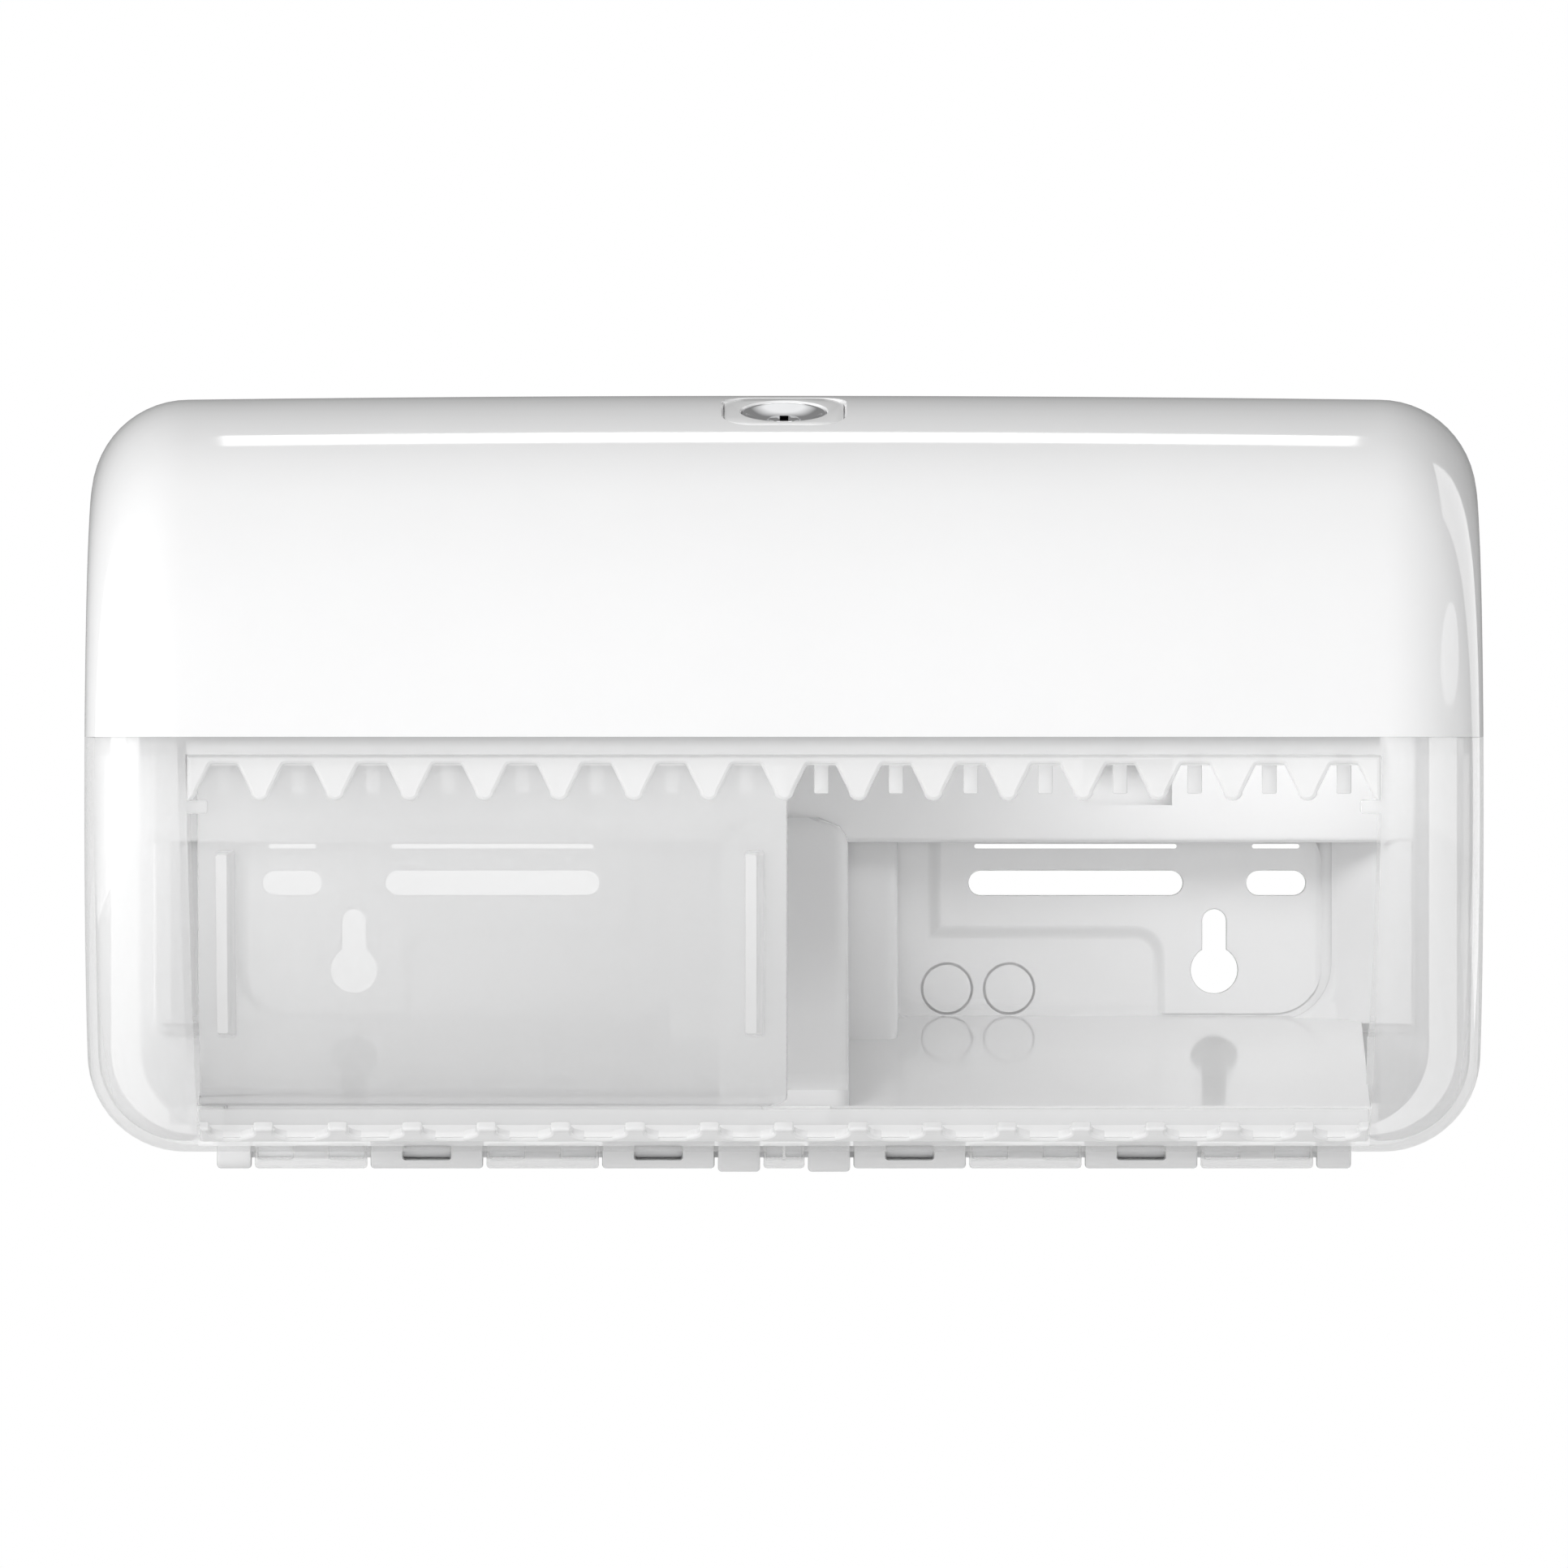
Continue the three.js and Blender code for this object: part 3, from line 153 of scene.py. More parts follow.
# Lock and the guide of its latch
LOCK_TILT = radians(14.5)
LOCK_SEAT = (
    FRONT[0] + FRONT_RADIUS * sin(LOCK_TILT),
    FRONT[1] + FRONT_RADIUS * cos(LOCK_TILT),
)
SEAT_HALF_WIDTH = 12.3
SEAT_HALF_LENGTH = 11.25
SEAT_CORNER = 6
BARREL_RADIUS = 3.2
BARREL_TOP = -1.5
DISH_INNER = BARREL_RADIUS + 0.2
DISH_OUTER = 7.85
DISH_RIM = -0.25
DISH_DEPTH = 1.9
GUIDE_SCREWS = (-14, 14)
GUIDE_DISTANCE = 46
BOSS_LOW = 60.9
BOSS_HIGH = 78.2


def place(point):
    across, distance, height = point
    return Vector((across * MM, -distance * MM, height * MM))


def linked(name, data):
    """A new object in the scene."""
    made = bpy.data.objects.new(name, data)
    bpy.context.scene.collection.objects.link(made)
    return made


@contextmanager
def editing(mesh):
    """A mesh open for changes, which are written back at the end."""
    form = bmesh.new()
    form.from_mesh(mesh)
    yield form
    form.to_mesh(mesh)
    form.free()


def make(name, points, faces):
    """A mesh object whose faces all look outwards."""
    mesh = bpy.data.meshes.new(name)
    mesh.from_pydata([place(p) for p in points], [], faces)
    with editing(mesh) as form:
        loose = [v for v in form.verts if not v.link_faces]
        bmesh.ops.delete(form, geom=loose, context="VERTS")
        bmesh.ops.recalc_face_normals(form, faces=form.faces)
    return linked(name, mesh)


def combine(target, others, operation):
    """Joins, cuts or intersects the target with other closed meshes, which are used up."""
    group = bpy.data.collections.new("tools")
    bpy.context.scene.collection.children.link(group)
    for other in others:
        group.objects.link(other)
    step = target.modifiers.new("combine", "BOOLEAN")
    step.operation = operation
    step.solver = "EXACT"
    step.operand_type = "COLLECTION"
    step.collection = group
    graph = bpy.context.evaluated_depsgraph_get()
    mesh = bpy.data.meshes.new_from_object(target.evaluated_get(graph))
    target.modifiers.clear()
    target.data = mesh
    for other in others:
        bpy.data.objects.remove(other)
    bpy.data.collections.remove(group)
    with editing(mesh) as form:
        bmesh.ops.remove_doubles(form, verts=form.verts, dist=MERGE_DISTANCE)
        bmesh.ops.dissolve_degenerate(form, edges=form.edges, dist=MERGE_DISTANCE)
    return target


def add(target, *others):
    return combine(target, others, "UNION")


def cut(target, *others):
    return combine(target, others, "DIFFERENCE")


def pair(part):
    """A part of the right side with its mirror image."""
    mesh = part.data.copy()
    with editing(mesh) as form:
        form.transform(Matrix.Scale(-1, 4, (1, 0, 0)))
        bmesh.ops.reverse_faces(form, faces=form.faces)
    return [part, linked(part.name + "_mirrored", mesh)]


# An outline is a function of an inset that always gives the same number of points


def arc(centre, radius, start, end, steps):
    angles = [start + (end - start) * step / steps for step in range(steps + 1)]
    return [(centre[0] + radius * cos(a), centre[1] + radius * sin(a)) for a in angles]


def rounded_box(left, right, low, high, radius, steps):
    def outline(inset=0):
        size = max(radius - inset, 0.02)
        edge = inset + size
        corners = [(right - edge, high - edge), (left + edge, high - edge)]
        corners += [(left + edge, low + edge), (right - edge, low + edge)]
        points = []
        for turn, corner in enumerate(corners):
            points += arc(corner, size, QUARTER * turn, QUARTER * (turn + 1), steps)
        return points

    return outline


def circle(centre, radius, steps):
    return lambda inset=0: arc(centre, radius - inset, 0, 4 * QUARTER, steps)[:-1]


def polygon(points):
    """An outline set in along its corners' bisectors."""
    area = sum(a[0] * b[1] - b[0] * a[1] for a, b in zip(points, points[1:] + points[:1]))
    turn = 1 if area > 0 else -1

    def outline(inset=0):
        found = []
        count = len(points)
        for i, here in enumerate(points):
            before = Vector(here) - Vector(points[i - 1])
            after = Vector(points[(i + 1) % count]) - Vector(here)
            before.normalize()
            after.normalize()
            inward = Vector((-before.y - after.y, before.x + after.x)) * turn
            share = inward.length_squared / 2
            found.append(tuple(Vector(here) + inward * (inset / max(share, 0.3))))
        return found

    return outline


def rounded_ends(low, high, radius, steps=3):
    """Places and insets along a length whose two ends are rounded over."""
    start = []
    for step in range(steps + 1):
        angle = QUARTER * step / steps
        start.append((low + radius * (1 - cos(angle)), radius * (1 - sin(angle))))
    return start + [(high - (at - low), inset) for at, inset in reversed(start)]


def between(low, high):
    return [(low, 0), (high, 0)]


def round_front(back, front, radius, steps=3):
    """The same with only the far end rounded."""
    return [(back, 0)] + rounded_ends(back - radius, front, radius, steps)[steps + 1 :]


def loft(name, loops, closed=False):
    """Loops of points joined one to the next, with end faces or closed round to the first."""
    count, levels = len(loops[0]), len(loops)
    points = [point for loop in loops for point in loop]
    faces = []
    for level in range(levels if closed else levels - 1):
        a, b = level * count, (level + 1) % levels * count
        for i in range(count):
            j = (i + 1) % count
            faces.append((a + i, a + j, b + j, b + i))
    if not closed:
        faces.append(tuple(reversed(range(count))))
        faces.append(tuple((levels - 1) * count + i for i in range(count)))
    return make(name, points, faces)


def plate(name, outline, levels):
    """An outline in across and height, between distances from the wall."""
    return loft(name, [[(x, at, z) for x, z in outline(inset)] for at, inset in levels])


def put(across, row):
    """A side view's points at a place across."""
    return [(across, d, z) for d, z in row]


def bar(name, outline, levels):
    """An outline in distance and height, between places across."""
    return loft(name, [put(at, outline(inset)) for at, inset in levels])


def column(name, outline, levels):
    """An outline in across and distance, between heights."""
    return loft(name, [[(x, d, at) for x, d in outline(inset)] for at, inset in levels])


def box(name, left, right, back, front, low, high):
    corners = [(left, low), (right, low), (right, high), (left, high)]
    return plate(name, polygon(corners), between(back, front))


def thick_sheet(name, outer, inner, ends=(), present=lambda i, j: True):
    """A wall between two grids of points, with a face wherever present says so.

    ends closes the first and the last column with one corner each.
    """
    columns, rows = len(outer), len(outer[0])
    points = []
    for side, grid in enumerate((outer, inner)):
        points += [p for column_points in grid for p in column_points]
        points += [corner[side] for corner in ends]
    shift = len(points) // 2
    faces = []
    edges = {}

    def face(corners):
        faces.append(corners)
        faces.append([shift + c for c in reversed(corners)])
        for a, b in zip(corners, corners[1:] + corners[:1]):
            key = (min(a, b), max(a, b))
            edges.setdefault(key, []).append((a, b))

    for i in range(columns - 1):
        for j in range(rows - 1):
            if present(i, j):
                here, after = i * rows + j, (i + 1) * rows + j
                face([here, after, after + 1, here + 1])
    if ends:
        corner = columns * rows
        face([*range(rows), corner])
        face([(columns - 1) * rows + j for j in reversed(range(rows))] + [corner + 1])
    for sides in edges.values():
        if len(sides) == 1:
            a, b = sides[0]
            faces.append([b, a, shift + a, shift + b])
    return make(name, points, faces)


def bend(part, centre, heights=(), reference=None):
    """Wraps a part, drawn with its distance as the radius, round a line along the width.

    Edges are first cut into its faces at the heights, so that they can bend there. Without a
    reference its height stays. With one, which is an angle and a radius, its height is an arc
    length from that angle on a circle of that radius.
    """
    up = Vector((0, 0, 1))
    with editing(part.data) as form:
        for at in heights:
            whole = form.verts[:] + form.edges[:] + form.faces[:]
            bmesh.ops.bisect_plane(form, geom=whole, dist=1e-7, plane_co=up * at * MM, plane_no=up)
    for vertex in part.data.vertices:
        radius, height = -vertex.co.y / MM, vertex.co.z / MM
        if reference is None:
            rise = max(-radius, min(radius, height - centre[1]))
            distance = centre[0] + sqrt(max(radius**2 - rise**2, 0))
        else:
            start, around = reference
            angle = start + height / around
            distance = centre[0] + radius * cos(angle)
            height = centre[1] + radius * sin(angle)
        vertex.co.y, vertex.co.z = -distance * MM, height * MM
    return part


# Materials


class Shader:
    """A small builder of the nodes of a material or a world."""

    def __init__(self, name, owners=bpy.data.materials, output="ShaderNodeOutputMaterial"):
        self.owner = owners.new(name)
        self.owner.use_nodes = True
        self.tree = self.owner.node_tree
        self.tree.nodes.clear()
        self.output = self.node(output)
        self.coordinates = self.node("ShaderNodeTexCoord").outputs

    def link(self, start, end):
        self.tree.links.new(start, end)

    def node(self, kind, **values):
        made = self.tree.nodes.new(kind)
        for key, value in values.items():
            made.inputs[key.replace("_", " ")].default_value = value
        return made

    def noise(self, scale, detail=3, stretch=(1, 1, 1)):
        mapping = self.node("ShaderNodeMapping", Scale=stretch)
        self.link(self.coordinates["Object"], mapping.inputs["Vector"])
        made = self.node("ShaderNodeTexNoise", Scale=scale, Detail=detail)
        self.link(mapping.outputs["Vector"], made.inputs["Vector"])
        return made.outputs["Fac"]

    def ramp(self, value, low, high):
        """A value from 0 to 1 spread between two numbers or colours."""
        made = self.node("ShaderNodeValToRGB")
        for element, colour in zip(made.color_ramp.elements, (low, high)):
            level = colour if isinstance(colour, tuple) else (colour, colour, colour)
            element.color = (*level, 1)
        made.color_ramp.elements[0].position = 0.3
        made.color_ramp.elements[1].position = 0.7
        self.link(value, made.inputs["Fac"])
        return made.outputs["Color"]

    def bump(self, height, strength, distance):
        made = self.node("ShaderNodeBump", Strength=strength, Distance=distance)
        self.link(height, made.inputs["Height"])
        return made.outputs["Normal"]

    def principled(self, **values):
        self.shader = self.node("ShaderNodeBsdfPrincipled", **values)

    def feed(self, output, name):
        """Links an output to the shader's input of that name."""
        self.link(output, self.shader.inputs[name])

    def mix(self, chooser, first, second):
        """The first shader, or the second where the chooser is 1."""
        made = self.node("ShaderNodeMixShader")
        for i, output in enumerate((chooser, first.outputs[0], second.outputs[0])):
            self.link(output, made.inputs[i])
        return made

    def finish(self, shader=None):
        self.link((shader or self.shader).outputs[0], self.output.inputs["Surface"])
        return self.owner


def shade(colour, change):
    return tuple(min(1, c * change) for c in colour)


def plastic(name, colour, rough, variation=0.012, grain=0.02):
    """Moulded opaque plastic, with faint mottling, uneven gloss and slight waviness."""
    look = Shader(name)
    look.principled(IOR=1.5, Coat_Weight=0.25, Coat_Roughness=0.05)
    dark, pale = shade(colour, 1 - variation), shade(colour, 1 + variation)
    look.feed(look.ramp(look.noise(38, 4), dark, pale), "Base Color")
    look.feed(look.ramp(look.noise(90, 2), rough * 0.8, rough * 1.25), "Roughness")
    look.feed(look.bump(look.noise(420, 2), grain, 0.0002), "Normal")
    return look.finish()


def clear(name, colour, opacity, rough=0.03):
    """Milky plastic: a surface hides what is behind it by its opacity, and lamps shine through."""
    look = Shader(name)
    look.principled(IOR=1.5, Coat_Weight=1, Coat_Roughness=0.03, Coat_IOR=1.9, Alpha=opacity)
    look.feed(look.ramp(look.noise(24, 3), shade(colour, 0.985), colour), "Base Color")
    look.feed(look.ramp(look.noise(70, 2), rough * 0.7, rough * 1.3), "Roughness")
    look.feed(look.bump(look.noise(60, 2), 0.012, 0.0002), "Normal")
    path = look.node("ShaderNodeLightPath").outputs
    passing = look.node("ShaderNodeBsdfTransparent", Color=(0.95, 0.95, 0.95, 1))
    return look.finish(look.mix(path["Is Shadow Ray"], look.shader, passing))


def metal(name, colour, rough, stretch=(1, 1, 1), grain=0.1, metallic=1):
    """Metal with fine marks, which a stretch below 1 draws out along that axis."""
    look = Shader(name)
    look.principled(Metallic=metallic)
    marks = look.noise(500, 3, stretch)
    look.feed(look.ramp(look.noise(60, 3), shade(colour, 0.93), colour), "Base Color")
    look.feed(look.ramp(marks, rough * 0.6, rough * 1.5), "Roughness")
    look.feed(look.bump(marks, grain, 0.00005), "Normal")
    return look.finish()


WHITE = (0.9, 0.9, 0.902)
BRIGHT_WHITE = (0.91, 0.91, 0.912)
LOOKS = {
    "shell_white": plastic("shell_plastic", BRIGHT_WHITE, 0.06, 0.006, 0.006),
    "panel_white": plastic("panel_plastic", BRIGHT_WHITE, 0.09, 0.008, 0.008),
    "track_white": plastic("track_plastic", WHITE, 0.2),
    "glide_white": plastic("glide_plastic", WHITE, 0.35, grain=0.06),
    "lock_white": plastic("lock_plastic", WHITE, 0.16),
    "latch_white": plastic("latch_plastic", WHITE, 0.35, grain=0.06),
    "window_clear": clear("window_plastic", WHITE, 0.38),
    "door_clear": clear("door_plastic", (0.87, 0.87, 0.873), 0.48, 0.06),
    "ridge_clear": clear("ridge_plastic", (0.88, 0.88, 0.882), 0.72, 0.06),
    "bar_clear": clear("tear_bar_plastic", WHITE, 0.6, 0.09),
    "low_bar_clear": clear("low_bar_plastic", BRIGHT_WHITE, 0.72, 0.09),
    "track_clear": clear("low_track_plastic", (0.8, 0.8, 0.803), 0.6, 0.2),
    "lock_chrome": metal("chrome_finish", (0.86, 0.865, 0.875), 0.05, grain=0.01),
    "lock_steel": metal("turned_steel", (0.5, 0.505, 0.515), 0.25),
    "rod_steel": metal("drawn_steel", (0.93, 0.932, 0.936), 0.5, (0.02, 1, 1), 0.05, 0.15),
    "catch_steel": metal("sheet_steel", (0.55, 0.555, 0.56), 0.3, (1, 1, 0.05)),
    "screw_steel": metal("zinc_steel", (0.5, 0.505, 0.51), 0.32),
}


def smooth(part, angle):
    """Round where the faces meet gently, crisp where they meet at more than the angle."""
    limit = radians(angle)
    with editing(part.data) as form:
        for face in form.faces:
            face.smooth = True
        for edge in form.edges:
            edge.smooth = len(edge.link_faces) == 2 and edge.calc_face_angle(pi) < limit


def round_edges(part, width, angle):
    """A bevel along the edges that are sharper than the angle."""
    step = part.modifiers.new("edges", "BEVEL")
    step.width = width * MM
    step.segments = 2
    step.limit_method = "ANGLE"
    step.angle_limit = radians(angle)
    return step


def dress(part, body, slot, nodes=(), bevel=0, angle=32, look=None):
    """Gives a piece its finish, its body and the nodes that it stands for."""
    smooth(part, angle)
    part.data.materials.clear()
    part.data.materials.append(LOOKS[look or slot])
    if bevel:
        step = round_edges(part, bevel, 45)
        step.use_clamp_overlap = False
        step.harden_normals = True
    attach(part, body)
    if nodes:
        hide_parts(*nodes)


# Cover


def crown_lift(across, height):
    spread = max(0, 1 - (across / FLAT_HALF) ** 2)
    return CROWN * spread * max(0, (height - SEAM) / (TOP - SEAM))


def side_stations(inset):
    """Places across from the side inwards, each with how far the side view is set in there."""
    rounding = EDGE_ROUNDING - inset
    found = []
    for step in range(ROUNDING_STEPS):
        angle = QUARTER * (1 - step / ROUNDING_STEPS)
        found.append((FLAT_HALF + rounding * sin(angle), rounding * (1 - cos(angle))))
    return found


def stations(inset, middle):
    """The same from one side to the other, with places of the flat part in the middle."""
    side = side_stations(inset)
    flat = [(x, 0) for x in middle]
    return [(-x, depth) for x, depth in side] + flat + side[::-1]


def shell_row(depth):
    """The shell's side view at a depth below its surface, from the rear rim down to the seam."""
    radius = FRONT_RADIUS - depth
    start = FRONT[0] + radius * cos(ARC_START)
    rows = [(RIM + (start - RIM) * s / 8, TOP - depth) for s in range(8)]
    return rows + arc(FRONT, radius, ARC_START, asin((SEAM - FRONT[1]) / radius), 56)


def shell_grid(inset):
    middle = [FLAT_HALF * s / 12 for s in range(-12, 13)]
    return [
        [(x, d, z + crown_lift(x, z)) for d, z in shell_row(inset + depth)]
        for x, depth in stations(inset, middle)
    ]


def rim_corners(height):
    """The corners that close the cover's sides at the rear rim, outside and inside, at the seam."""
    return [
        [(side * HALF_WIDTH, RIM, height), (side * (HALF_WIDTH - WALL), RIM, height)]
        for side in (-1, 1)
    ]


def in_lock(points, up):
    """Points across and along the slope, at a height square to it, as places in the frame."""
    sine, cosine = sin(LOCK_TILT), cos(LOCK_TILT)
    return [
        (x, LOCK_SEAT[0] - back * cosine + up * sine, LOCK_SEAT[1] + back * sine + up * cosine)
        for x, back in points
    ]


def lock_form(name, outline, levels):
    return loft(name, [in_lock(outline(inset), up) for up, inset in levels])


def seat(margin):
    """The lock seat's outline, larger by a margin."""
    width, length = SEAT_HALF_WIDTH + margin, SEAT_HALF_LENGTH + margin
    return rounded_box(-width, width, -length, length, SEAT_CORNER + margin, 10)


def guide_posts(name, radius, steps, low, high):
    """A round form at each screw of the latch's guide."""
    return [
        column(f"{name}_{x}", circle((x, GUIDE_DISTANCE), radius, steps), between(low, high))
        for x in GUIDE_SCREWS
    ]


shell = thick_sheet("cover_shell", shell_grid(0), shell_grid(WALL), rim_corners(SEAM))
rib = box("rib", -8, 8, GUIDE_DISTANCE - 2, GUIDE_DISTANCE + 2, 65.4, BOSS_HIGH)
shell = add(shell, *guide_posts("boss", 3, 24, BOSS_LOW, BOSS_HIGH), rib)
shell = cut(
    shell,
    lock_form("pocket", seat(0.25), [(-1.4, 0), (-0.35, 0), (0.05, -0.35), (20, -0.6)]),
    lock_form("hole", seat(-1.2), between(-20, 20)),
    *guide_posts("bore", SCREW_BORE, 20, 50, 77),
)
dress(shell, "cover", "shell_white", ["front_shell"], angle=28)


# Clear lower part of the cover


def opening_half(height):
    return OPENING_HALF - OPENING_TAPER * (OPENING_TOP - height) / (OPENING_TOP - DOOR_BOTTOM)


# The window's rows: seam to opening, down the front, round the fillet, under to the hinge
SEAM_STEPS, FRONT_STEPS, FILLET_STEPS, TURN_STEPS, UNDER_STEPS = 3, 44, 14, 6, 6
MOUTH_ROW = SEAM_STEPS
LIP_ROW = MOUTH_ROW + FRONT_STEPS + FILLET_STEPS
HINGE_ROW = LIP_ROW + TURN_STEPS + UNDER_STEPS
# Its columns: the side's rounding, the flat part, and from here the opening
OPENING_COLUMN = ROUNDING_STEPS + 1


def window_row(depth):
    """The window's side view at a depth below its surface, from the seam to the rear rim."""
    radius = FRONT_RADIUS - depth
    round_radius = max(FILLET_RADIUS - depth, 0.5)
    seam = asin((SEAM - SEAM_GAP - FRONT[1]) / radius)
    mouth = asin((OPENING_TOP - FRONT[1]) / radius)
    lip = -acos((LIP_DISTANCE - FILLET[0]) / (FILLET_RADIUS - min(depth, WALL)))
    rows = arc(FRONT, radius, seam, mouth, SEAM_STEPS)[:-1]
    rows += arc(FRONT, radius, mouth, FILLET_START, FRONT_STEPS)[:-1]
    rows += arc(FILLET, round_radius, FILLET_START, lip, FILLET_STEPS)[:-1]
    rows += arc(FILLET, round_radius, lip, -QUARTER, TURN_STEPS)
    low = BOTTOM + depth
    rear = HINGE[0] + KNUCKLE + KNUCKLE_GAP
    start = rows[-1][0]
    rows += [(start + (rear - start) * s / UNDER_STEPS, low) for s in range(1, UNDER_STEPS + 1)]
    return rows + [(RIM, low)]


def window_grid(inset):
    row = window_row(inset)
    right = [put(x, window_row(inset + depth)) for x, depth in side_stations(inset)]
    right.append(put(FLAT_HALF, row))
    right.append([(opening_half(z), d, z) for d, z in row])
    right.append(put(HINGE_HALF + KNUCKLE_GAP, row))
    left = [[(-x, d, z) for x, d, z in points] for points in right]
    return left + [put(x, row) for x in (-60, 0, 60)] + right[::-1]


def window_present(i, j):
    """Whether the window has a face there: none in the opening and in the cut for the hinge."""
    inwards = i - OPENING_COLUMN
    in_opening = 0 <= inwards < 6 and MOUTH_ROW <= j < LIP_ROW
    in_hinge = 1 <= inwards < 5 and j >= HINGE_ROW
    return not (in_opening or in_hinge)


window_corners = rim_corners(SEAM - SEAM_GAP)
window = thick_sheet(
    "cover_window_wall", window_grid(0), window_grid(WALL), window_corners, window_present
)


def lap_row(depth, outer):
    """The lap's rows from its top edge down. Below the seam its outside steps into the wall."""
    sunk = -0.9 if outer else 0
    levels = [(SEAM + LAP, 0), (SEAM, 0), (SEAM - 0.15, 0)]
    levels += [(SEAM - 0.35, sunk), (OPENING_TOP + 0.05, sunk)]
    rows = []
    for height, step in levels:
        radius = FRONT_RADIUS - depth - step
        rows.append((FRONT[0] + sqrt(radius**2 - (height - FRONT[1]) ** 2), height))
    return rows


def lap_grid(inset, outer):
    places = stations(inset, (-FLAT_HALF, 0, FLAT_HALF))
    return [put(x, lap_row(inset + depth, outer)) for x, depth in places]


lap_outside = WALL + SEAM_GAP
lap = thick_sheet("lap", lap_grid(lap_outside, True), lap_grid(lap_outside + LAP_WALL, False))


def flange():
    """The wall that stands inwards along the opening's side."""
    high = SEAM - SEAM_GAP - 0.05
    inset = WALL / 2
    outer = FRONT_RADIUS - inset
    inner = FRONT_RADIUS - WALL - FLANGE_DEPTH
    outline = arc(FRONT, outer, asin((high - FRONT[1]) / outer), FILLET_START, 40)[:-1]
    outline += arc(FILLET, FILLET_RADIUS - inset, FILLET_START, -QUARTER, 12)
    outline += [(FRONT[0], BOTTOM + inset)]
    outline += arc(FRONT, inner, -QUARTER, asin((high - FRONT[1]) / inner), 30)
    loops = [[(opening_half(z) + x, d, z) for d, z in outline] for x in (0.02, FLANGE_WALL)]
    return loft("flange", loops)


def keeper():
    """The nose at the opening's side that holds the door in."""
    rear = DOOR_RADIUS + 2 * FIT
    edge = opening_half(KEEPER_TOP)
    outline = rounded_box(edge - 4.2, edge + 0.9, KEEPER_BOTTOM, KEEPER_TOP, 0.7, 4)
    block = plate("keeper", outline, round_front(rear, rear + 3, 0.5))
    return bend(block, FRONT, [-5.4, -4.6, -3.9])


def span(number):
    """The left and right end of a knuckle on the right side, by its number from the middle."""
    run = HINGE_HALF - END_KNUCKLE - CLIP_OUTER - 2 * KNUCKLE_GAP
    width = (run - 3 * KNUCKLE_GAP) / 4
    left = CLIP_OUTER + KNUCKLE_GAP + number * (width + KNUCKLE_GAP)
    return left, left + width


def knuckle(name, left, right, arm):
    """A hinge barrel with its arm to the window or to the panel."""
    if arm == "window":
        outline = arc(HINGE, KNUCKLE, radians(60), radians(330), 26)
        outline += [(HINGE[0] + KNUCKLE + 0.2, BOTTOM), (ARM_END, BOTTOM)]
        outline += [(ARM_END, BOTTOM + WALL), (HINGE[0], BOTTOM + WALL)]
    else:
        arm_high = PANEL_BOTTOM + PANEL_WALL
        outline = arc(HINGE, KNUCKLE, QUARTER, -QUARTER, 18)
        outline += arc(HINGE, KNUCKLE, -QUARTER, radians(-150), 6)[1:]
        outline += [(1.6, HINGE[1] + 0.5), (0, HINGE[1] + 1.2), (0, arm_high)]
        outline += [(PANEL_WALL, arm_high), (PANEL_WALL, HINGE[1] + KNUCKLE)]
    return bar(name, polygon(outline), rounded_ends(left, right, 0.7, 2))


def rod_windows(spans):
    """Cutters that open the knuckles to the rod from the front."""
    low, high = HINGE[1] - ROD_WINDOW_HALF, HINGE[1] + ROD_WINDOW_HALF
    insets = ((-0.2, 0), (0.8, 0), (3.3, -0.35), (20, -0.5))
    levels = [(HINGE[0] + distance, inset) for distance, inset in insets]
    return [
        plate(f"rod_window_{start:.1f}", rounded_box(start, end, low, high, 0.35, 3), levels)
        for start, end in spans
    ]


def bore(left, right):
    """The hole for the rods."""
    return bar("bore", circle(HINGE, ROD + 0.25, 24), between(left, right))


def both_sides(start, end):
    return [(start, end), (-end, -start)]


clear_spans = [(-MIDDLE_HALF, MIDDLE_HALF)]
clear_windows = [(-3.6, 3.6)]
for number in (1, 3):
    left, right = span(number)
    margin, length = (right - left) * 0.035, (right - left) * 0.3
    clear_windows += both_sides(left + margin, left + margin + length)
    clear_windows += both_sides(right - margin - length, right - margin)
    clear_spans += both_sides(left, right)
window = add(
    window,
    lap,
    *pair(flange()),
    *pair(keeper()),
    *[knuckle(f"clear_{left:.0f}", left, right, "window") for left, right in clear_spans],
)
path_top = GLIDE_LOW + GLIDE_HEIGHT + 2 * FIT
track_room = (TRACK_REAR - FIT, TRACK_FRONT + FIT, TRACK_FLOOR - FIT, path_top)
window = cut(
    window,
    box("glide_path", -123.6, 123.6, *track_room),
    bore(-HINGE_HALF - 5, HINGE_HALF + 5),
    *rod_windows(clear_windows),
)
dress(window, "cover", "window_clear", ["cover_window"], angle=28)


# Tear bars


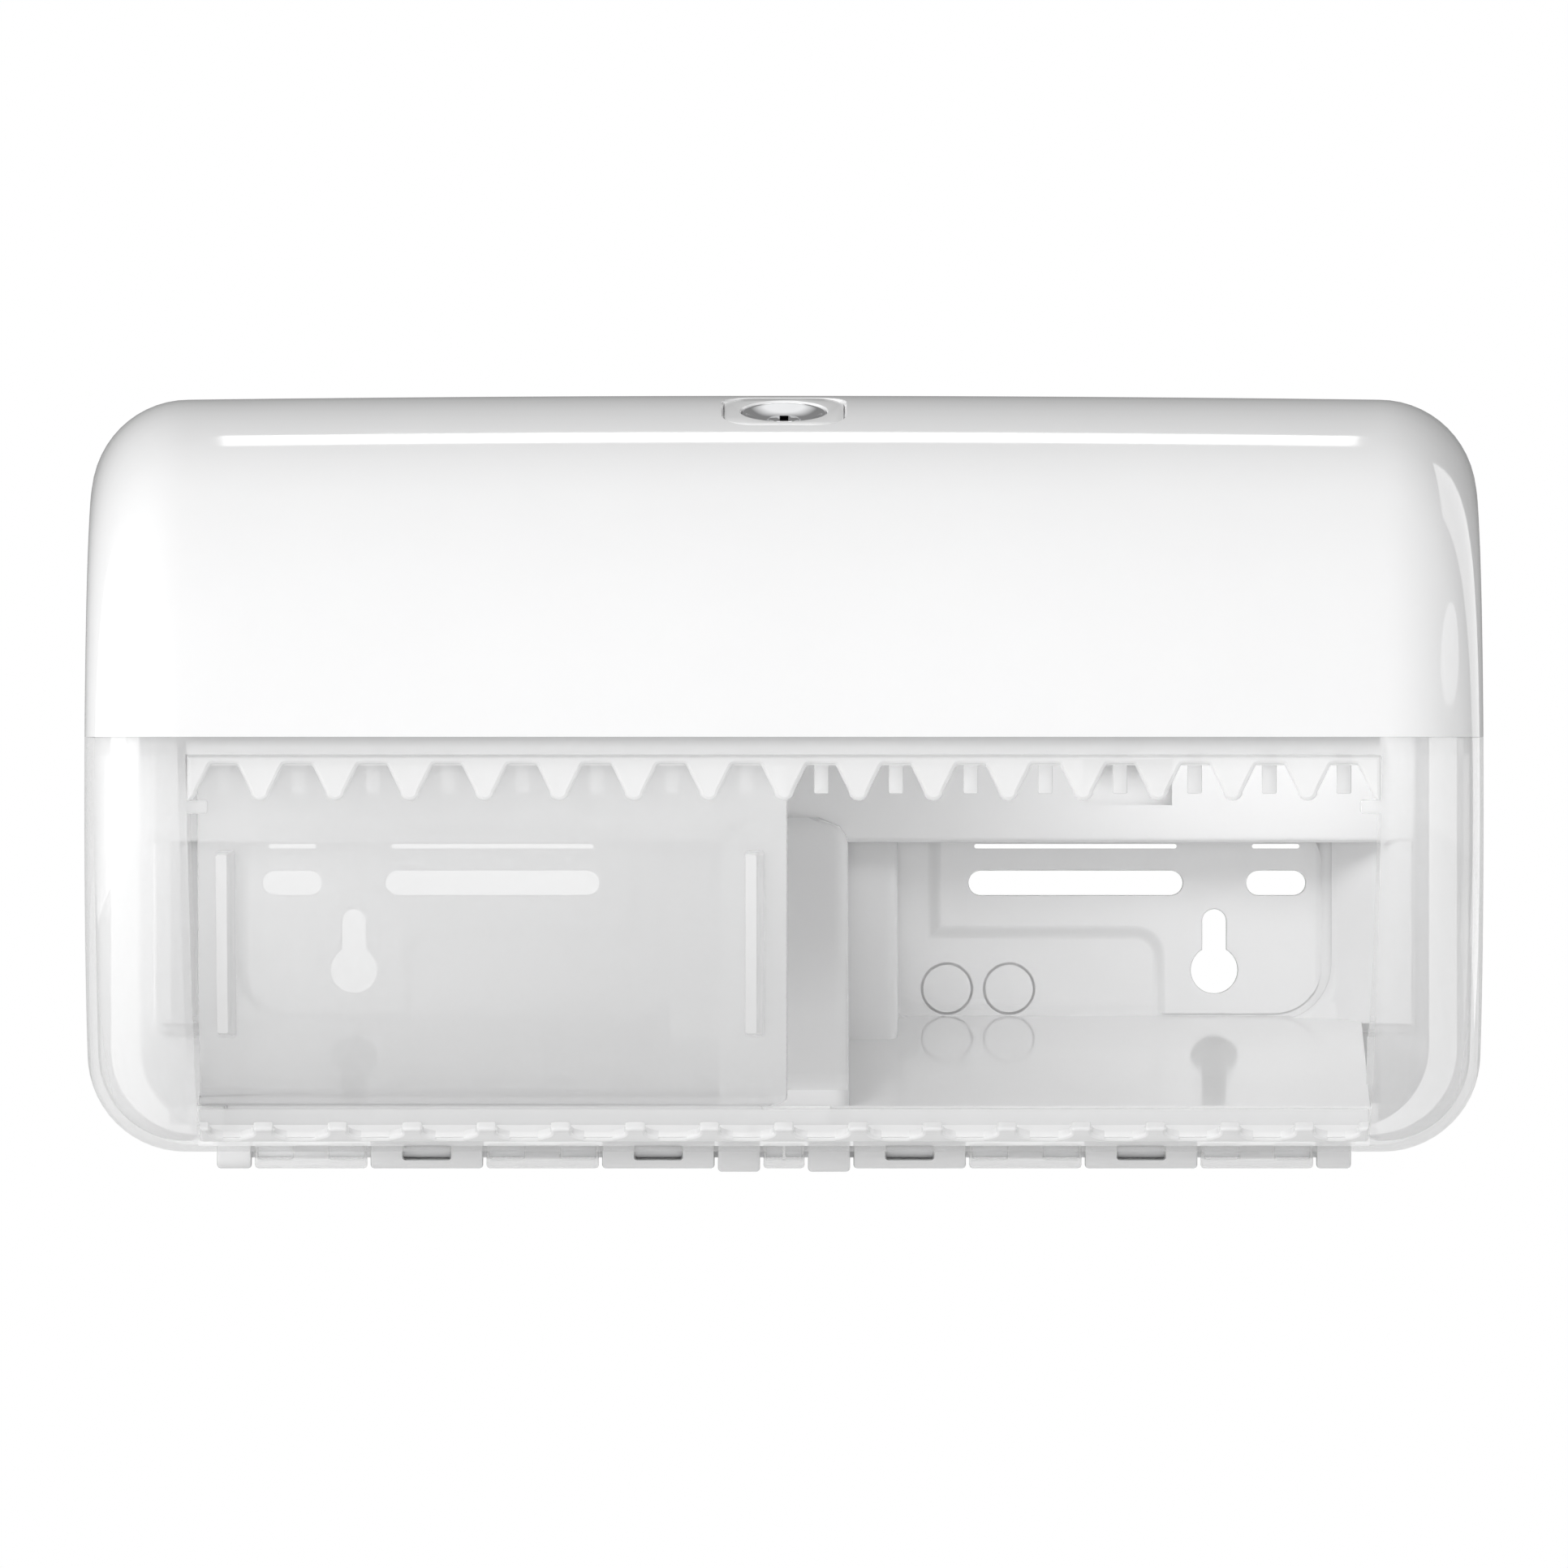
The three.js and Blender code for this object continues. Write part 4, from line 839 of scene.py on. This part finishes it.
def comb_outline(half, root, length, tip, high, root_width, flare=1, blunt=1, cap=0.45):
    """The outline of a comb whose teeth hang down from a rail.

    flare bends the flanks out at the root, blunt squares the tip, and cap is the tip's height
    as a share of its width.
    """
    drop = tip * cap

    def flank(middle, side):
        found = []
        for step in range(9):
            t = step / 8
            wide = tip / 2 + (root_width - tip) / 2 * (1 - t) ** flare
            found.append((middle + side * wide, root - (length - drop) * t))
        return found

    def tooth(middle):
        low = root - (length - drop)
        round_tip = []
        for step in range(1, 8):
            angle = pi * step / 8
            aside = copysign(tip / 2 * abs(cos(angle)) ** blunt, 4 - step)
            round_tip.append((middle - aside, low - drop * sin(angle) ** blunt))
        return flank(middle, -1) + round_tip + flank(middle, 1)[::-1]

    def valley(start, end):
        ease = min(0.9, (end - start) / 5)
        rise = [(start + ease * 0.3, root + 0.35), (start + ease, root + 0.5)]
        return rise + [(end - ease, root + 0.5), (end - ease * 0.3, root + 0.35)]

    side = [(x, z) for x, z in tooth(-half) if x > -half + 0.05]
    points = [(-half, high), (-half, root - length), *side]
    start = -half + root_width / 2
    for number in range(1 - TEETH, TEETH):
        middle = number * PITCH
        points += valley(start, middle - root_width / 2)
        points += tooth(middle)
        start = middle + root_width / 2
    points += valley(start, half - root_width / 2)
    return points + [(-x, z) for x, z in side[::-1]] + [(half, root - length), (half, high)]


BAR_HALF = OPENING_HALF - FIT
upper_high = OPENING_TOP - FIT
upper_outer = FRONT_RADIUS - FIT
upper_inner = FRONT_RADIUS - 3.6 - 2 * FIT
upper_outline = comb_outline(
    BAR_HALF, upper_high - 2.2, length=6.9, tip=4, high=upper_high, root_width=9
)
comb = plate(
    "upper_comb",
    polygon(upper_outline),
    [(upper_inner, 0), (upper_outer - 0.75, 0), (upper_outer - 0.25, 0.3), (upper_outer, 0.75)],
)
comb = bend(comb, FRONT, [4.8, 3.8, 2.4, 1, -0.6, -2.2])
rail = plate(
    "upper_rail",
    rounded_box(-BAR_HALF, BAR_HALF, upper_high - 1.9, upper_high + 10, 0.4, 3),
    between(upper_inner - 2, upper_inner + 0.15),
)
rail = bend(rail, FRONT, range(6, 15, 2))
dress(add(comb, rail), "cover", "bar_clear", ["upper_tear_bar"], angle=24)

lower_outer = FILLET_RADIUS - FIT
lower_inner = FILLET_RADIUS - WALL
lower_start = -acos((LIP_DISTANCE + FIT - FILLET[0]) / lower_inner)
lower_reach = (FILLET_START - lower_start) * lower_outer
lower_half = opening_half(BOTTOM) - FIT
lower_outline = comb_outline(
    lower_half, -1.9, length=lower_reach - 3.1, tip=4.2, high=0, root_width=9.5,
    flare=2.6, blunt=0.5, cap=0.3,
)
lower = plate(
    "lower_comb",
    polygon([(x, -z) for x, z in lower_outline]),
    [(lower_inner, 0), (lower_outer - 0.6, 0), (lower_outer - 0.2, 0.25), (lower_outer, 0.6)],
)
lower = bend(lower, FILLET, range(1, 8), (lower_start, lower_outer))


def ring_piece(name, outer, inner, start, end, steps, half):
    """A bar whose side view is a piece of a ring round the fillet's centre."""
    outline = arc(FILLET, outer, start, end, steps) + arc(FILLET, inner, end, start, steps)
    return bar(name, polygon(outline), between(-half, half))


tongue_outer = lower_inner - FIT
above_lip = lower_start + 0.08
under_lip = lower_start - 6 / tongue_outer
tongue = ring_piece(
    "lower_tongue", tongue_outer, tongue_outer - 1, above_lip, under_lip, 8, lower_half
)
link = ring_piece(
    "lower_link", lower_outer - 0.5, tongue_outer - 0.9,
    above_lip, lower_start + 0.004, 3, lower_half - 0.01,
)
lower = add(lower, tongue, link)
dress(lower, "cover", "bar_clear", ["lower_tear_bar"], angle=24, look="low_bar_clear")


# Tracks


def upper_track():
    """A rail behind the upper tear bar, with a row of hooks down behind the door's upper edge."""
    web = DOOR_TOP + 2 * FIT
    front = upper_inner - 2 - FIT
    hook_outer = DOOR_RADIUS - DOOR_WALL - FIT
    hook_inner = hook_outer - 1.6
    half = BAR_HALF - FIT
    top = plate(
        "web",
        rounded_box(-half, half, web, web + 1.5, 0.4, 3),
        round_front(hook_inner, front, 0.4),
    )
    leg = plate(
        "leg",
        rounded_box(-half, half, web + 0.3, web + 6.5, 0.4, 3),
        between(front - 1.5, front - 0.05),
    )
    hooks = []
    for gap in range(-TEETH, TEETH):
        middle = (gap + 0.5) * PITCH
        hook = plate(
            f"hook_{gap}",
            rounded_box(middle - 1.5, middle + 1.5, -2, web + 0.8, 0.4, 3),
            rounded_ends(hook_inner, hook_outer, 0.35, 2),
        )
        hooks.append(bend(hook, FRONT, [0, 2, 4]))
    return add(bend(top, FRONT), bend(leg, FRONT, [8, 10, 12]), *hooks)


dress(upper_track(), "cover", "track_white", ["upper_track"])


# Door

door_inner = DOOR_RADIUS - DOOR_WALL


def door_grid(radius):
    top = asin((DOOR_TOP - FRONT[1]) / DOOR_RADIUS)
    low = asin((DOOR_BOTTOM - FRONT[1]) / DOOR_RADIUS)
    places = [(x, 0) for x in (DOOR_LEFT, -90, -60, -30, DOOR_RIGHT - DOOR_CORNER)]
    for step in range(1, 9):
        angle = QUARTER * step / 8
        x = DOOR_RIGHT - DOOR_CORNER * (1 - sin(angle))
        places.append((x, DOOR_CORNER * (1 - cos(angle))))
    return [put(x, arc(FRONT, radius, top, low + rise / DOOR_RADIUS, 40)) for x, rise in places]


door = thick_sheet("door_sheet", door_grid(DOOR_RADIUS), door_grid(door_inner))
low_angle = asin((DOOR_BOTTOM - FRONT[1]) / DOOR_RADIUS)
foot = FRONT[0] + door_inner * cos(low_angle)
heel_front = FRONT[0] + DOOR_RADIUS * cos(low_angle)
heel = bar(
    "heel",
    rounded_box(foot - DOOR_WALL, heel_front, DOOR_BOTTOM + 0.02, DOOR_BOTTOM + DOOR_WALL, 0.5, 3),
    between(DOOR_LEFT + 0.02, DOOR_RIGHT - DOOR_CORNER),
)
door_tongue = bar(
    "door_tongue",
    rounded_box(foot - DOOR_WALL + 0.02, foot - 0.02, GLIDE_LOW, DOOR_BOTTOM + 0.6, 0.3, 3),
    between(DOOR_LEFT + 0.3, DOOR_RIGHT - 5.3),
)
door = add(door, heel, door_tongue)
glide_room = (107, 111.7, GLIDE_LOW - 9, GLIDE_LOW + GLIDE_HEIGHT + FIT)
rooms = [box("glide_room", left - FIT, right + FIT, *glide_room) for left, right in GLIDE_SPANS]
door = cut(door, *rooms)
dress(door, "door", "door_clear", ["sliding_door"], bevel=0.25, angle=28)


def finger_ridge(name, left):
    """A tall rib with a steep left side, a narrow top and a sloped right side."""
    base, proud = DOOR_RADIUS - 0.15, DOOR_RADIUS + RIDGE_PROUD
    levels = [(base, 0), (base + 1.2, 0), (proud - 1.2, 1.5), (proud - 0.4, 1.9), (proud, 2.4)]
    loops = []
    for radius, slope in levels:
        ends = 0.45 * slope
        outline = rounded_box(
            left + slope * 0.12, left + RIDGE_WIDTH - slope * 0.72,
            RIDGE_BOTTOM + ends, RIDGE_TOP - ends,
            max(0.9 - slope * 0.2, 0.35), 4,
        )
        loops.append([(x, radius, z) for x, z in outline()])
    return bend(loft(name, loops), FRONT, range(-48, -12, 4))


for side, left in (("left", DOOR_LEFT + 3.6), ("right", DOOR_RIGHT - 8.8)):
    ridge = finger_ridge(f"door_ridge_{side}", left)
    dress(ridge, "door", "door_clear", angle=30, look="ridge_clear")


# Back panel


def divider_front(height):
    t = max(0, min(1, (DIVIDER_TOP - height) / DIVIDER_FALL))
    return 20 + 72 * t**2


def corner_drop(radius, rise):
    """How far a round corner has fallen back at a rise from its start."""
    return radius - sqrt(max(radius**2 - rise**2, 0))


def standing(name, left, right, front, top, bottom, corner, edge, square_left=False, low_corner=0):
    """A form that stands out of the panel, with a curved front, round corners and round edges."""
    loops = []
    for level in range(35):
        height = bottom + (top - bottom) * (level / 34)
        drop = 0
        if height > top - corner:
            drop = corner_drop(corner, height - (top - corner))
        if height < bottom + low_corner:
            drop = corner_drop(low_corner, bottom + low_corner - height)
        left_now = left if square_left else left + drop
        right_now = right - drop
        if right_now - left_now < 0.44:
            continue
        depth = front(height) - drop * 0.35
        size = min(edge, (right_now - left_now) / 2 - 0.05)
        left_size = 0.05 if square_left else size
        loop = [(left_now, -0.5)]
        loop += arc((left_now + left_size, depth - left_size), left_size, 2 * QUARTER, QUARTER, 6)
        loop += arc((right_now - size, depth - size), size, QUARTER, 0, 6)
        loop += [(right_now, -0.5)]
        loops.append([(x, max(d, 0), height) for x, d in loop])
    return loft(name, loops)


def band_outline(inset):
    """Round upper corners and square lower ones."""
    left, right = -BAND_HALF + inset, BAND_HALF - inset
    low, high = BAND_BOTTOM + inset, PANEL_TOP - inset
    radius = 14 - inset
    points = [(left, low), (right, low)]
    points += arc((right - radius, high - radius), radius, 0, QUARTER, 10)
    points += arc((left + radius, high - radius), radius, QUARTER, 2 * QUARTER, 10)
    return points


panel = plate(
    "wall_panel",
    rounded_box(-PANEL_HALF, PANEL_HALF, PANEL_BOTTOM, PANEL_TOP, 17, 12),
    round_front(0, PANEL_WALL, 0.8),
)
band = plate("band", band_outline, round_front(0.5, BAND_DEPTH, 1.2, 4))
border = plate(
    "border",
    rounded_box(-BAND_HALF, BAND_HALF, -52, BAND_BOTTOM + 2, 1.5, 4),
    round_front(0.5, BORDER_DEPTH, 1),
)
tray_low = TRAY_FRONT[1]
tray_outline = [
    TRAY_REAR,
    TRAY_FRONT,
    (TRAY_FRONT[0], tray_low + 1),
    (TRAY_FRONT[0] + 0.5, tray_low + 1.4),
    (TRAY_LIP_FRONT - 0.5, tray_low + 1.4),
    (TRAY_LIP_FRONT, tray_low + 1),
    (TRAY_LIP_FRONT, tray_low + 0.6),
    (TRAY_LIP_FRONT - 2.4, tray_low - TRAY_WALL),
    (TRAY_REAR[0], TRAY_REAR[1] - TRAY_WALL),
]
tray = bar("tray", polygon(tray_outline), rounded_ends(-TRAY_HALF, TRAY_HALF, 0.3, 2))


def step_front(height):
    t = max(0, min(1, (BAND_BOTTOM - height) / 43))
    return 8 + 20 * t**1.4


def tray_height(distance):
    share = (distance - TRAY_REAR[0]) / (TRAY_FRONT[0] - TRAY_REAR[0])
    return TRAY_REAR[1] + (TRAY_FRONT[1] - TRAY_REAR[1]) * share


def below_tray(name, rear, drop):
    """A cutter for what would reach through the tray, from a drop under its surface down."""
    slope = [(rear, tray_height(rear) - drop), (125, tray_height(125) - drop)]
    return bar(name, polygon(slope + [(125, -120), (rear, -120)]), between(-40, 40))


divider = standing(
    "divider", -DIVIDER_HALF, DIVIDER_HALF, divider_front, DIVIDER_TOP, -66.5, corner=6, edge=3
)
root_step = standing(
    "root_step", DIVIDER_HALF - 1, BAY_INNER, step_front, BAND_BOTTOM + 1, -57,
    corner=0.5, edge=2.4, square_left=True, low_corner=5.5,
)
posts = [cut(divider, below_tray("under_tray", -5, 2.1))]
posts += pair(cut(root_step, below_tray("under_step", 3, 1.2)))
panel = add(panel, border)
cove = []
for step in range(7):
    angle = QUARTER * step / 6
    cove.append((PANEL_WALL + 3 * (1 - cos(angle)), 4.6 * (1 - sin(angle))))
cove += [(BORDER_DEPTH - 0.75, -0.25), (BORDER_DEPTH - 0.4, -0.8), (BORDER_DEPTH - 0.12, -1.8)]
cove += [(BORDER_DEPTH, -3.2), (30, -3.4)]
bay_outline = rounded_box(BAY_INNER - 6, BAY_OUTER, -49.6, BAND_BOTTOM + 20, 12, 10)
panel = cut(panel, *pair(plate("bay", bay_outline, cove)))


def soft_step(back, front, run):
    """Insets that climb from one depth to another along a soft curve."""
    return [
        (back + (front - back) * (0.5 - 0.5 * cos(pi * s / 8)), run * (s / 8 - 0.5))
        for s in range(9)
    ]


raised = plate(
    "raised",
    rounded_box(31.5, 112.4, -52, BAND_BOTTOM + 6, 3, 6),
    [(1, -1.6)] + soft_step(PANEL_WALL, BAY_RELIEF, 3.2),
)
low_pocket = plate(
    "low_pocket",
    rounded_box(10, 78.5, -58, -31, 5, 8),
    [(at, -inset) for at, inset in soft_step(PANEL_WALL, BAY_RELIEF + 0.01, 3.2)] + [(9, -1.6)],
)
raised = cut(raised, low_pocket)
keep_outline = rounded_box(BAY_INNER - 4, BAY_OUTER - 2, -48, BAND_BOTTOM + 5, 10, 10)
raised = combine(raised, [plate("keep_in_bay", keep_outline, between(-5, 30))], "INTERSECT")
panel = add(panel, *pair(raised))
foot, end = BAY_OUTER + 1, BAND_HALF - 1
ramp_outline = [(foot, 5), (end, 5), (end, 14.5), (end - 3, 14.5), (foot, 6.4)]
ramp = column("ramp", polygon(ramp_outline), between(-50, BAND_BOTTOM + 1))
panel = add(panel, *pair(ramp))
panel = add(panel, band, tray, *posts)


def hole(name, outline):
    """A through hole with a small rounded rim at the front."""
    rim = ((-0.4, 0), (-0.1, -0.12), (0.1, -0.4), (0.5, -0.9), (1, -0.9))
    return plate(name, outline, [(-5, 0)] + [(BAY_RELIEF + at, inset) for at, inset in rim])


holes = []
neck = (KEYHOLE[0] - 2.5, KEYHOLE[0] + 2.5, KEYHOLE[1], -26.2)
for name, outline in (
    ("wide_slot", rounded_box(38.6, 83.4, *SLOT_HEIGHTS, 2.55, 10)),
    ("small_slot", rounded_box(96.7, 109.1, *SLOT_HEIGHTS, 2.55, 10)),
    ("keyhole", circle(KEYHOLE, 4.9, 56)),
    ("keyhole_neck", rounded_box(*neck, 2.5, 10)),
):
    holes += pair(hole(name, outline))
for name, left, right in (("wide_slit", 39.8, 82.2), ("small_slit", 97.9, 107.9)):
    outline = rounded_box(left, right, -13.5, -12.55, 0.45, 4)
    holes += pair(plate(name, outline, between(-5, 9)))
hollow = plate(
    "band_hollow",
    lambda inset: band_outline(PANEL_WALL + inset),
    between(-5, BAND_DEPTH - PANEL_WALL),
)
post_heights = [DIVIDER_TOP - DIVIDER_FALL * s / 12 for s in range(2, 13)]
post_outline = [(-5, -9.5), (17.5, -9.5)]
post_outline += [(divider_front(z) - 5, z - 1.25) for z in post_heights]
post_outline += [(87, -74), (HINGE[0], -74), (HINGE[0], -67), (-5, -67)]
post_half = DIVIDER_HALF - PANEL_WALL
post_hollow = bar("post_hollow", polygon(post_outline), between(-post_half, post_half))
border_room = (-5, BORDER_DEPTH - PANEL_WALL, -48, BAND_BOTTOM)
hollows = [
    *pair(box("outer_hollow", BAY_OUTER + PANEL_WALL, BAND_HALF - PANEL_WALL, *border_room)),
    *pair(box("inner_hollow", DIVIDER_HALF, BAY_INNER - PANEL_WALL, *border_room)),
]


def window_bore(back, front):
    """A box through the band's small window."""
    left, right, low, high = BAND_WINDOW
    return box("window_bore", left, right, BAND_DEPTH + back, BAND_DEPTH + front, low, high)


catch_holes = [
    plate(f"catch_hole_{x}", circle((x, CATCH_HEIGHT), SCREW_BORE, 20), between(-5, 30))
    for x in CATCH_SCREWS
]
panel = cut(panel, hollow, post_hollow, *hollows, window_bore(-5, 9), *catch_holes, *holes)
rings = []
for x in RING_PLACES:
    outside = circle((x, RING_HEIGHT), RING_RADIUS, 64)
    inside = circle((x, RING_HEIGHT), RING_RADIUS - RING_GROOVE, 64)
    ring = plate(f"ring_{x}", outside, between(PANEL_WALL - 1.1, PANEL_WALL + 2))
    core = plate(f"ring_core_{x}", inside, between(PANEL_WALL - 2, PANEL_WALL + 3))
    rings.append(cut(ring, core))
panel = cut(panel, *rings)
window_back = box("window_back", 58, 86, BAND_DEPTH - 8, BAND_DEPTH - 6, -9, 9)
window_frame = box("window_frame", 60, 84, BAND_DEPTH - 7, BAND_DEPTH - 1, -7, 8)
panel = add(panel, window_back, cut(window_frame, window_bore(-9, 2)))
white_spans, white_windows = [], []
for number in (0, 2):
    left, right = span(number)
    middle, half = (left + right) / 2, (right - left) * 0.205
    white_spans += both_sides(left, right)
    white_windows += both_sides(middle - half, middle + half)
white_spans += both_sides(HINGE_HALF - END_KNUCKLE, HINGE_HALF)
rear_pad = box("rear_pad", -10, 10, 0, BAND_DEPTH - 1.25, -10, 10)
white = [knuckle(f"white_{left:.0f}", left, right, "panel") for left, right in white_spans]
panel = add(panel, rear_pad, *white)
panel = cut(panel, bore(-HINGE_HALF - 5, HINGE_HALF + 5), *rod_windows(white_windows))
panel.name = "wall_panel"
dress(panel, "base", "panel_white", ["back_panel"], angle=30)
even_normals = panel.modifiers.new("even_normals", "WEIGHTED_NORMAL")
even_normals.keep_sharp = True

# Rods and their clips

for side, sign in (("left", -1), ("right", 1)):
    low, high = sorted((sign * FIT, sign * (HINGE_HALF - FIT)))
    rod = bar(f"rod_{side}", circle(HINGE, ROD, 32), rounded_ends(low, high, 0.25, 2))
    dress(rod, "base", "rod_steel", [f"hinge_rod_{side}"])
    low, high = sorted((sign * CLIP_INNER, sign * CLIP_OUTER))
    outline = arc(HINGE, KNUCKLE + 0.7, QUARTER, radians(-150), 28)
    outline += [(1.6, HINGE[1] + 0.5), (0.3, HINGE[1] + 1.2), (0.3, HINGE[1] + 3.4)]
    clip = bar(f"clip_{side}", polygon(outline), rounded_ends(low, high, 0.8, 3))
    clip = cut(clip, bore(low - 1, high + 1))
    dress(clip, "base", "panel_white", [f"rod_clip_{side}"])


# Lock

insert = lock_form("insert", seat(0), [(-1.1, 0), (-0.3, 0), (-0.08, 0.08), (0, 0.3)])
tube = lock_form("tube", circle((0, 0), 9.4, 64), between(-12, -0.7))
insert = add(insert, tube)
insert = cut(
    insert,
    lock_form("socket", circle((0, 0), 8.85, 64), [(-4.5, 0), (-0.35, 0), (0.1, -0.4), (1, -0.5)]),
    lock_form("lock_bore", circle((0, 0), DISH_INNER, 40), between(-30, 5)),
)
dress(insert, "cover", "lock_white", ["lock_housing"], angle=28)
dish = [(DISH_INNER, -4.1), (8.6, -4.1), (8.7, -4), (8.7, DISH_RIM - 0.35), (8.6, DISH_RIM - 0.1)]
dish += [(8.35, DISH_RIM), (8.1, DISH_RIM), (DISH_OUTER, DISH_RIM - 0.12)]
for step in range(1, 13):
    t = step / 12
    sink = 0.12 + DISH_DEPTH * sin(t * QUARTER)
    dish.append((DISH_OUTER - (DISH_OUTER - DISH_INNER) * t, DISH_RIM - sink))
dish_loops = [in_lock(circle((0, 0), radius, 72)(), up) for radius, up in dish]
dress(loft("dish", dish_loops, closed=True), "cover", "lock_chrome", ["lock_bezel"], angle=40)
barrel_edge = [(BARREL_TOP - 0.3, 0), (BARREL_TOP - 0.08, 0.08), (BARREL_TOP, 0.3)]
barrel = lock_form("barrel", circle((0, 0), BARREL_RADIUS, 48), [(-12.3, 0), *barrel_edge])
key_slot = rounded_box(-0.9, 0.9, -2.2, 2.2, 0.3, 3)
barrel = cut(
    barrel,
    lock_form("key_slot", key_slot, between(BARREL_TOP - 5, BARREL_TOP + 5)),
    lock_form("screw_bore", circle((0, 0), SCREW_BORE, 24), between(-20, -10)),
)
dress(barrel, "lock", "lock_steel", ["lock_barrel"], angle=30, look="lock_chrome")


# The other CAD nodes keep their shapes and get their finishes, and those listed in ROUNDED get
# rounded edges

ROUNDED = {
    "lower_track": 0.25,
    "door_glide_left": 0.3,
    "door_glide_right": 0.3,
    "lock_cam": 0.15,
    "lock_nut": 0.25,
    "latch_slider": 0.25,
    "latch_guide": 0.2,
    "catch_plate": 0.15,
}
NODE_LOOKS = {"lower_track": "track_clear"}
slots = {part["node"]: part["material_slot"] for part in frame["record"]["subparts"]}
for name, node in frame["nodes"].items():
    if node.hide_render:
        continue
    node.data.materials.clear()
    node.data.materials.append(LOOKS[NODE_LOOKS.get(name, slots[name])])
    weld = node.modifiers.new("weld", "WELD")
    weld.merge_threshold = 1e-6
    if name in ROUNDED:
        round_edges(node, ROUNDED[name], 40)

# Camera: level and well back, as wide as the photograph's frame at the cover's front

CAMERA_REACH = 5.5
COVER_FRONT = 0.133
FRAME_WIDTH = 0.3205
camera = linked("camera", bpy.data.cameras.new("camera"))
bpy.context.scene.camera = camera
camera.location = (0, -CAMERA_REACH - COVER_FRONT, 0)
camera.rotation_euler = (QUARTER, 0, 0)
camera.data.sensor_width = 36
camera.data.lens = camera.data.sensor_width * CAMERA_REACH / FRAME_WIDTH
camera.data.clip_start = 0.1
camera.data.clip_end = 100

# Floor, world and lamps

floor_look = Shader("floor_paint")
floor_look.principled(Roughness=0.6)
floor_look.feed(floor_look.ramp(floor_look.noise(3, 2), 0.86, 0.88), "Base Color")
floor_mesh = bpy.data.meshes.new("floor")
floor_corners = [(-3, -3, -0.3), (3, -3, -0.3), (3, 3, -0.3), (-3, 3, -0.3)]
floor_mesh.from_pydata(floor_corners, [], [(0, 1, 2, 3)])
floor = linked("floor", floor_mesh)
floor_mesh.materials.append(floor_look.finish())

# Surfaces get the ambient light, the camera sees white, and reflections fade towards the back
studio = Shader("studio", bpy.data.worlds, "ShaderNodeOutputWorld")
bpy.context.scene.world = studio.owner
ambient, backdrop, mirror = [
    studio.node("ShaderNodeBackground", Color=(1, 1, 1, 1), Strength=strength)
    for strength in (0.41, 1, 1)
]
direction = studio.node("ShaderNodeSeparateXYZ")
studio.link(studio.coordinates["Generated"], direction.inputs[0])
fade = studio.node("ShaderNodeMapRange", From_Min=0.15, From_Max=0.6, To_Min=1, To_Max=0.25)
studio.link(direction.outputs["Y"], fade.inputs["Value"])
studio.link(fade.outputs["Result"], mirror.inputs["Strength"])
path = studio.node("ShaderNodeLightPath").outputs
lit = studio.mix(path["Is Glossy Ray"], ambient, mirror)
studio.finish(studio.mix(path["Is Camera Ray"], lit, backdrop))


def lamp(
    name, location, width, height, radiance,
    target=(0, 0, 0), shape="RECTANGLE", diffuse=True, glossy=True,
):
    """An area lamp of one radiance, at which a mirror would show 1 as white."""
    data = bpy.data.lights.new(name, "AREA")
    data.shape = shape
    data.size, data.size_y = width, height
    area = width * height * (pi / 4 if shape == "ELLIPSE" else 1)
    data.energy = radiance * area * pi
    made = linked(name, data)
    made.location = location
    made.rotation_euler = (Vector(target) - Vector(location)).to_track_quat("-Z", "Y").to_euler()
    made.visible_camera = False
    made.visible_diffuse = diffuse
    made.visible_glossy = glossy
    return made


for lamp_values in (
    ("front_lamp", (-0.5, -5, 0.05), 2, 1.4, 2.9),
    ("key_lamp", (-2.93, -3.75, 1.45), 2.6, 1.6, 7.2),
    ("high_lamp", (-0.4, -2.2, 2.9), 4, 2, 1.1),
    ("left_wrap", (-1.6, 0.1, 0), 1, 1.6, 1.3),
    ("right_wrap", (1.3, 0.9, 0), 1, 1.6, 1.2),
    ("right_fill", (1.5, -1.6, 0), 0.8, 0.8, 0.5),
):
    lamp(*lamp_values, glossy=False)
# The light that comes through the thin white cover onto the bay, which goes with the cover
inner_glow = lamp(
    "inner_glow", (0.1, -0.06, 0.035), 0.078, 0.03, 3.5, (0.105, 0, -0.02), glossy=False
)
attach(inner_glow, "cover")
lamp("back_fill", (0.8, 3.5, -0.1), 2, 2, 2, glossy=False)
# Lamps that only show as highlights
for lamp_values in (
    ("left_softbox", (-1.5, 0.1, 0.3), 1.44, 3.24, 1.7, (0, 0.1, 0.3), "ELLIPSE"),
    ("right_rim", (1.2, 0.95, 0.1), 0.6, 2.4, 1.35, (0.1, 0, 0.1)),
    ("right_softbox", (1.65, -0.08, 0.71), 0.9, 0.5, 1.5, (0.14, -0.14, 0.02), "ELLIPSE"),
    ("top_strip", (0.005, 0.8, 1.28), 0.345, 0.17, 3, (0.005, -0.1, 0.07)),
):
    lamp(*lamp_values, diffuse=False)

bpy.context.scene.view_settings.view_transform = "Standard"
